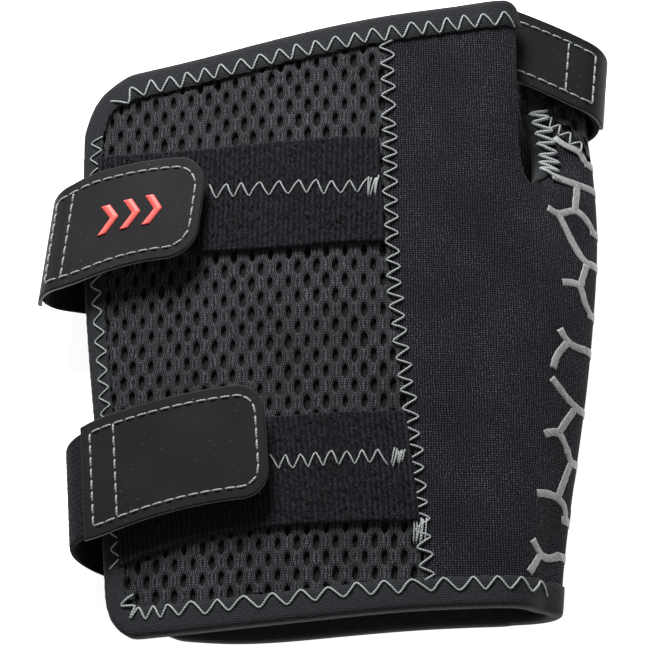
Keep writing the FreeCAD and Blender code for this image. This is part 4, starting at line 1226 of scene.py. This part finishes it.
MIRROR_RUN = -2.0                       # the cells repeat on the back of the fold, mirrored about this line
comb = Builder()
print_lines = PRINT_LINES + [[(CROSSING_RUNS[0], y), (CROSSING_RUNS[1], y)] for y in CROSSING_Y]
print_lines += [[(2 * MIRROR_RUN - run, y) for run, y in line] for line in PRINT_LINES]
for line in print_lines:
    path = [(run + apex_arc(y), y) for run, y in line]
    if len(path) > 2:
        path = smooth_path(path, 0.8)
    print_wall(comb, path)
place(comb.make("honeycomb", PRINT), "silicone_print", "honeycomb_print")


# ---------------------------------------------------------------- straps
UP = np.array([0.0, 0.0, 1.0])
WEB, TAB_THICKNESS = 1.4, 1.0


class Strap:
    """Strap folded back over itself: a flat leg below, half a turn, and a leg that rises above."""

    def __init__(self, apex, heading, inward, low_z, radius, slope, leans, base_lean, width, tip,
                 fold_width):
        f = math.radians(heading)
        self.f = np.array([math.cos(f), math.sin(f), 0.0])
        self.p = np.cross(self.f, UP) * inward
        self.radius, self.slope = radius, math.radians(slope)
        self.base_lean, self.width, self.tip = math.tan(math.radians(base_lean)), width, tip
        self.apex = np.array([apex[0], apex[1], low_z + radius])
        self.u = self.p * math.cos(self.slope) + UP * math.sin(self.slope)
        self.half_turn = radius * (math.pi / 2 - self.slope)
        self.runs = np.linspace(-60, tip + 10, 400)
        angles = np.radians(np.interp(self.runs, [0, tip], leans))
        slopes = np.where(self.runs > 0, np.tan(angles), self.base_lean)
        shift = np.concatenate([[0], np.cumsum(slopes[1:] * np.diff(self.runs))])
        self.shifts = shift - np.interp(0, self.runs, shift)
        settled = smooth_step(0.0, 14.0, self.runs)
        self.widths = fold_width + (width / np.cos(angles) - fold_width) * settled

    def middle(self, run):
        return np.interp(run, self.runs, self.shifts)

    def half(self, run):
        return np.interp(run, self.runs, self.widths) / 2

    def at(self, run, across, lift):
        """Point run millimetres past the fold, across millimetres along the fold line from the middle."""
        run, across, lift = (np.asarray(v, float) for v in np.broadcast_arrays(run, across, lift))
        quarter = self.radius * math.pi / 2
        angle = np.clip(run, -quarter, self.half_turn) / self.radius
        normal = UP * np.sin(angle)[..., None] - self.p * np.cos(angle)[..., None]
        point = self.apex + self.p * self.radius + normal * (self.radius + lift[..., None])
        past = np.maximum(run - self.half_turn, 0)[..., None]
        before = np.maximum(-quarter - run, 0)[..., None]
        point = point + self.u * past + self.p * before
        return point + self.f * (self.middle(run) + across)[..., None]

    def pad(self, builder, start, end, corner_radius, lift, thickness, bevel, narrower=0.0, n_u=70, n_w=46,
            rough=0.0, ribs=None):
        """Closed slab on the strap from start to end, its far corners rounded, from lift upwards."""
        def at(u, w, up):
            run = start + (end - start) * u
            half = self.half(run) - narrower / 2
            if corner_radius:
                into = np.clip(run - (end - corner_radius), 0, corner_radius)
                half = half - corner_radius + np.sqrt(corner_radius ** 2 - into ** 2)
            return self.at(run, w * half, lift + up)
        return at, slab(builder, at, n_u, n_w, thickness, bevel, 0.0, rough, ribs, flip=self.p[0] < 0)


BASE_Z = BACK_Z + PANEL + 0.75 + WEB / 2 + 0.1
upper = Strap((-69.1, 19.6), 83.0, 1, BASE_Z, 4.9, 14.5, (33, 0.5), 1.0, 26.0, 41.2, 25.6)
lower = Strap((-62.6, -44.7), 93.7, 1, BASE_Z, 6.0, 14.5, (20, -4), 27.0, 27.5, 54.2, 26.2)
hand = Strap((71.0, 63.8), 84.5, -1, 0.95, 6.3, 10.5, (21, 12), 16.0, 18.5, 29.0, 18.8)


def running_stitches(builder, strap, line, lift, pitch=3.1, length=2.45, radius=0.25):
    """Separate stitches along a line of (run, across) on a strap's tab."""
    line = np.asarray(line, float)
    flat = strap.at(line[:, 0], line[:, 1], 0.0)
    steps = lengths_along(flat)
    count = max(2, int(round(steps[-1] / pitch)))
    for i in range(count):
        begin = steps[-1] * (i + 0.5) / count - length / 2 + rng.normal(0, 0.08)
        t = np.linspace(0, 1, 7)
        at = np.clip(begin + t * length, 0, steps[-1])
        run, across = (np.interp(at, steps, line[:, k]) for k in (0, 1))
        rise = lift - 0.16 + 0.34 * np.sin(math.pi * t) ** 0.55
        tube(builder, strap.at(run, across, rise), radius, 6)


def tab_outline(strap, start, end, corner_radius, inset, count=160):
    """Stitch line inside the tab's border: along one side, round the tip, and back along the other."""
    run = np.linspace(start, end - inset, count)
    radius = max(corner_radius - inset, 1.0)
    into = np.clip(run - (end - inset - radius), 0, radius)
    half = strap.half(run) - inset * 1.05 - radius + np.sqrt(radius ** 2 - into ** 2)
    one_side = np.stack([run, half], 1)
    other = np.stack([run[::-1], -half[::-1]], 1)
    return np.concatenate([one_side, other])


def join(obj, strap, body, slot, *nodes):
    """A strap piece: stands for its CAD nodes, with its placement baked into its points."""
    place(obj, slot, *nodes, body=None)
    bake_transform(obj)


def build_strap(name, strap, base_length, tab_start, corner_radius, columns, body, hook_from, wider,
                open_tip=False):
    """One strap's webbing, tab, stitching and hook pad; open_tip leaves the stitch line open at the end."""
    quarter = strap.radius * math.pi / 2
    web = Builder()
    ribs = lambda along, across: 0.07 * np.cos(across * 2 * math.pi / 1.3)
    strap.pad(web, -quarter - base_length, strap.tip - 2.5, 0, -WEB / 2, WEB, 0.45, 1.2, 150, 60, 0.0, ribs)
    band = web.make(name + "_webbing", WEBBING)
    join(band, strap, body, "strap_webbing", name + "_strap_base", name + "_strap_webbing")

    tab = Builder()
    strap.pad(tab, tab_start, strap.tip, corner_radius, WEB / 2 + 0.02, TAB_THICKNESS, 0.3, -wider, 110, 60)
    top_points = tab.count // 2
    obj = tab.make(name + "_tab", None)
    obj.data.materials.append(RUBBER)
    obj.data.materials.append(EDGE)
    wall = np.array([min(p.vertices) < top_points <= max(p.vertices) for p in obj.data.polygons])
    obj.data.polygons.foreach_set("material_index", wall.astype(np.int32))
    join(obj, strap, body, "tab_rubber", name + "_strap_tab")

    threads = Builder()
    top = WEB / 2 + TAB_THICKNESS + 0.02
    inset = 2.7 - wider / 2
    outline = tab_outline(strap, columns[0], strap.tip + (inset if open_tip else 0.0), corner_radius, inset)
    if open_tip:
        half_count = len(outline) // 2
        running_stitches(threads, strap, outline[:half_count], top)
        running_stitches(threads, strap, outline[half_count:], top)
    else:
        running_stitches(threads, strap, outline, top)
    for run in columns:
        half = float(strap.half(run)) - inset
        running_stitches(threads, strap, [(run, half), (run, -half)], top, 2.9, 2.3)
    join(threads.make(name + "_tab_thread", THREAD), strap, body, "thread", name + "_strap_stitching")

    hooks = Builder()
    first = max(tab_start, strap.half_turn)
    pad_start, pad_end = first + (strap.tip - first) * hook_from, strap.tip - 2.6
    strap.pad(hooks, pad_start, pad_end, max(corner_radius - 2.0, 1.0), -WEB / 2 - 0.55, 0.54, 0.15, 4.0,
              30, 24)
    for run in np.arange(pad_start + 1.2, pad_end - 1.0, 1.5):
        for across in np.arange(-strap.width / 2 + 4.0, strap.width / 2 - 3.4, 1.5):
            t = np.linspace(0, math.pi * 0.9, 5)
            lift = -WEB / 2 - 0.5 - 0.42 * np.sin(t)
            tube(hooks, strap.at(run + 0.35 * (1 - np.cos(t)), np.full(5, across), lift), 0.1, 4)
    place(hooks.make(name + "_hook_pad", HOOK), "hook_pad", name + "_strap_hook", body=body)
    return top


upper_top = build_strap("upper", upper, 20.0, -0.5, 8.0, (3.4, 7.0), "upper_strap", 0.35, 1.0)
build_strap("lower", lower, 14.0, 7.4, 7.0, (9.8, 15.9), "lower_strap", 0.35, 1.0)
build_strap("hand", hand, 1.6, 1.0, 0.0, (6.4, 13.2), "hand_strap", 0.4, 0.0, True)

# Plain mark on the upper tab: three raised chevrons, each a band of this section (along the strap, rise)
CHEVRON_SECTION = [(0.0, 0.0), (0.12, 0.26), (1.1, 0.3), (2.08, 0.26), (2.2, 0.0)]
CHEVRON_HALF, CHEVRON_FIRST, CHEVRON_PITCH, CHEVRON_SLANT = 3.9, 15.0, 5.6, 0.7
mark = Builder()
for k in range(3):
    count, bands = 24, len(CHEVRON_SECTION)
    across = np.linspace(-CHEVRON_HALF, CHEVRON_HALF, count)
    run = CHEVRON_FIRST + CHEVRON_PITCH * k + (CHEVRON_HALF - abs(across)) * CHEVRON_SLANT
    face = [upper.at(run + shift, across, upper_top + rise - 0.01) for shift, rise in CHEVRON_SECTION]
    base = [upper.at(run + shift, across, upper_top - 0.1) for shift, _ in CHEVRON_SECTION]
    weave = np.stack([np.tile(across, bands), np.repeat(np.arange(float(bands)), count),
                      np.zeros(bands * count)], 1)
    points, faces, weave = thicken(np.array(face).reshape(-1, 3), grid_faces(bands, count),
                                   np.array(base).reshape(-1, 3), weave)
    mark.add(points, faces, weave)
place(mark.make("chevron_mark", MARK), "red_mark", "upper_tab_mark", body="upper_strap")

# ---------------------------------------------------------------- the stay's pocket under the palm
SLEEVE_ROWS, SLEEVE_AROUND = 60, 40
ROUNDNESS = 2 / 4.0                      # exponent of the sleeve's flattened oval
SHRINK = np.array([0.075, 0, 0.32])      # share of the way to the middle, for the sleeve's inside
SLEEVE_FLOOR = 0.6                       # thickness of the sleeve's closed end


def sleeve():
    """Flattened oval sleeve in the box of the CAD pocket, slightly rippled, closed at one end."""
    low, high = (np.array(end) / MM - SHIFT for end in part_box("stay_pocket"))
    centre, size = (low + high) / 2, high - low
    angle = np.arange(SLEEVE_AROUND) * 2 * math.pi / SLEEVE_AROUND
    x = np.sign(np.cos(angle)) * abs(np.cos(angle)) ** ROUNDNESS * size[0] / 2
    z = np.sign(np.sin(angle)) * abs(np.sin(angle)) ** ROUNDNESS * size[2] / 2
    outer, inner = [], []
    for i in range(SLEEVE_ROWS):
        y = low[1] + size[1] * i / (SLEEVE_ROWS - 1)
        ripple = 1 + 0.02 * math.sin(i * 0.9)
        ring = np.stack([centre[0] + x, np.full(SLEEVE_AROUND, y), centre[2] + z * ripple * 0.98], 1)
        outer.append(ring)
        inner.append(ring + (np.array([centre[0], y, centre[2]]) - ring) * SHRINK)
    inner[-1] = inner[-1] + np.array([0, SLEEVE_FLOOR, 0])
    outer, inner = np.concatenate(outer), np.concatenate(inner)
    weave = np.stack([np.tile(np.arange(SLEEVE_AROUND) * 1.0, SLEEVE_ROWS), outer[:, 1],
                      np.zeros(len(outer))], 1)
    builder = Builder()
    builder.add(*thicken(outer, grid_faces(SLEEVE_ROWS, SLEEVE_AROUND, closed_columns=True), inner, weave))
    return builder


place(sleeve().make("stay_sleeve", POCKET), "pocket_fabric", "stay_pocket")
stay_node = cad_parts["palm_stay"]
for material_slot in stay_node.material_slots:
    material_slot.material = METAL
if not stay_node.material_slots:
    stay_node.data.materials.append(METAL)

# ---------------------------------------------------------------- stage, light and camera
FLOOR_HALF, FLOOR_Z = 3, -0.0004         # metres
floor = bpy.data.meshes.new("floor")
floor_corners = [(-1, -1), (1, -1), (1, 1), (-1, 1)]
floor.from_pydata([(FLOOR_HALF * x, FLOOR_HALF * y, FLOOR_Z) for x, y in floor_corners], [], [(0, 1, 2, 3)])
floor_obj = bpy.data.objects.new("floor", floor)
bpy.context.scene.collection.objects.link(floor_obj)
paper = bpy.data.materials.new("floor")
paper.use_nodes = True
for socket, value in (("Base Color", (0.93, 0.93, 0.93, 1)), ("Roughness", 0.9),
                      ("Emission Color", (1, 1, 1, 1)), ("Emission Strength", 0.9)):
    paper.node_tree.nodes["Principled BSDF"].inputs[socket].default_value = value
floor.materials.append(paper)

world = bpy.data.worlds.new("studio")
world.use_nodes = True
world.node_tree.nodes["Background"].inputs["Color"].default_value = (1, 1, 1, 1)
world.node_tree.nodes["Background"].inputs["Strength"].default_value = 0.13
bpy.context.scene.world = world


def soft_light(name, place_at, aim, size, power):
    """Round soft box pointed at a place, in metres."""
    data = bpy.data.lights.new(name, "AREA")
    data.shape, data.size, data.energy = "DISK", size, power
    lamp = bpy.data.objects.new(name, data)
    bpy.context.scene.collection.objects.link(lamp)
    lamp.location = place_at
    lamp.rotation_euler = (Vector(aim) - Vector(place_at)).to_track_quat("-Z", "Y").to_euler()


soft_light("key_light", (-0.2, 0.75, 0.5), (0, 0, 0.01), 0.35, 17.0)
soft_light("fill_light", (0.5, -0.3, 0.6), (0, 0, 0.01), 0.5, 1.0)

TARGET = Vector((-0.00042, -0.00377, 0.014))
ELEVATION, DISTANCE = math.radians(72.0), 0.7
camera_data = bpy.data.cameras.new("camera")
camera_data.sensor_width, camera_data.lens = 36.0, 155.1
camera = bpy.data.objects.new("camera", camera_data)
bpy.context.scene.collection.objects.link(camera)
away = Vector((0, -math.cos(ELEVATION), math.sin(ELEVATION)))
camera.location = TARGET + away * DISTANCE
camera.rotation_euler = (-away).to_track_quat("-Z", "Y").to_euler()
bpy.context.scene.camera = camera
bpy.context.scene.view_settings.view_transform = "Standard"
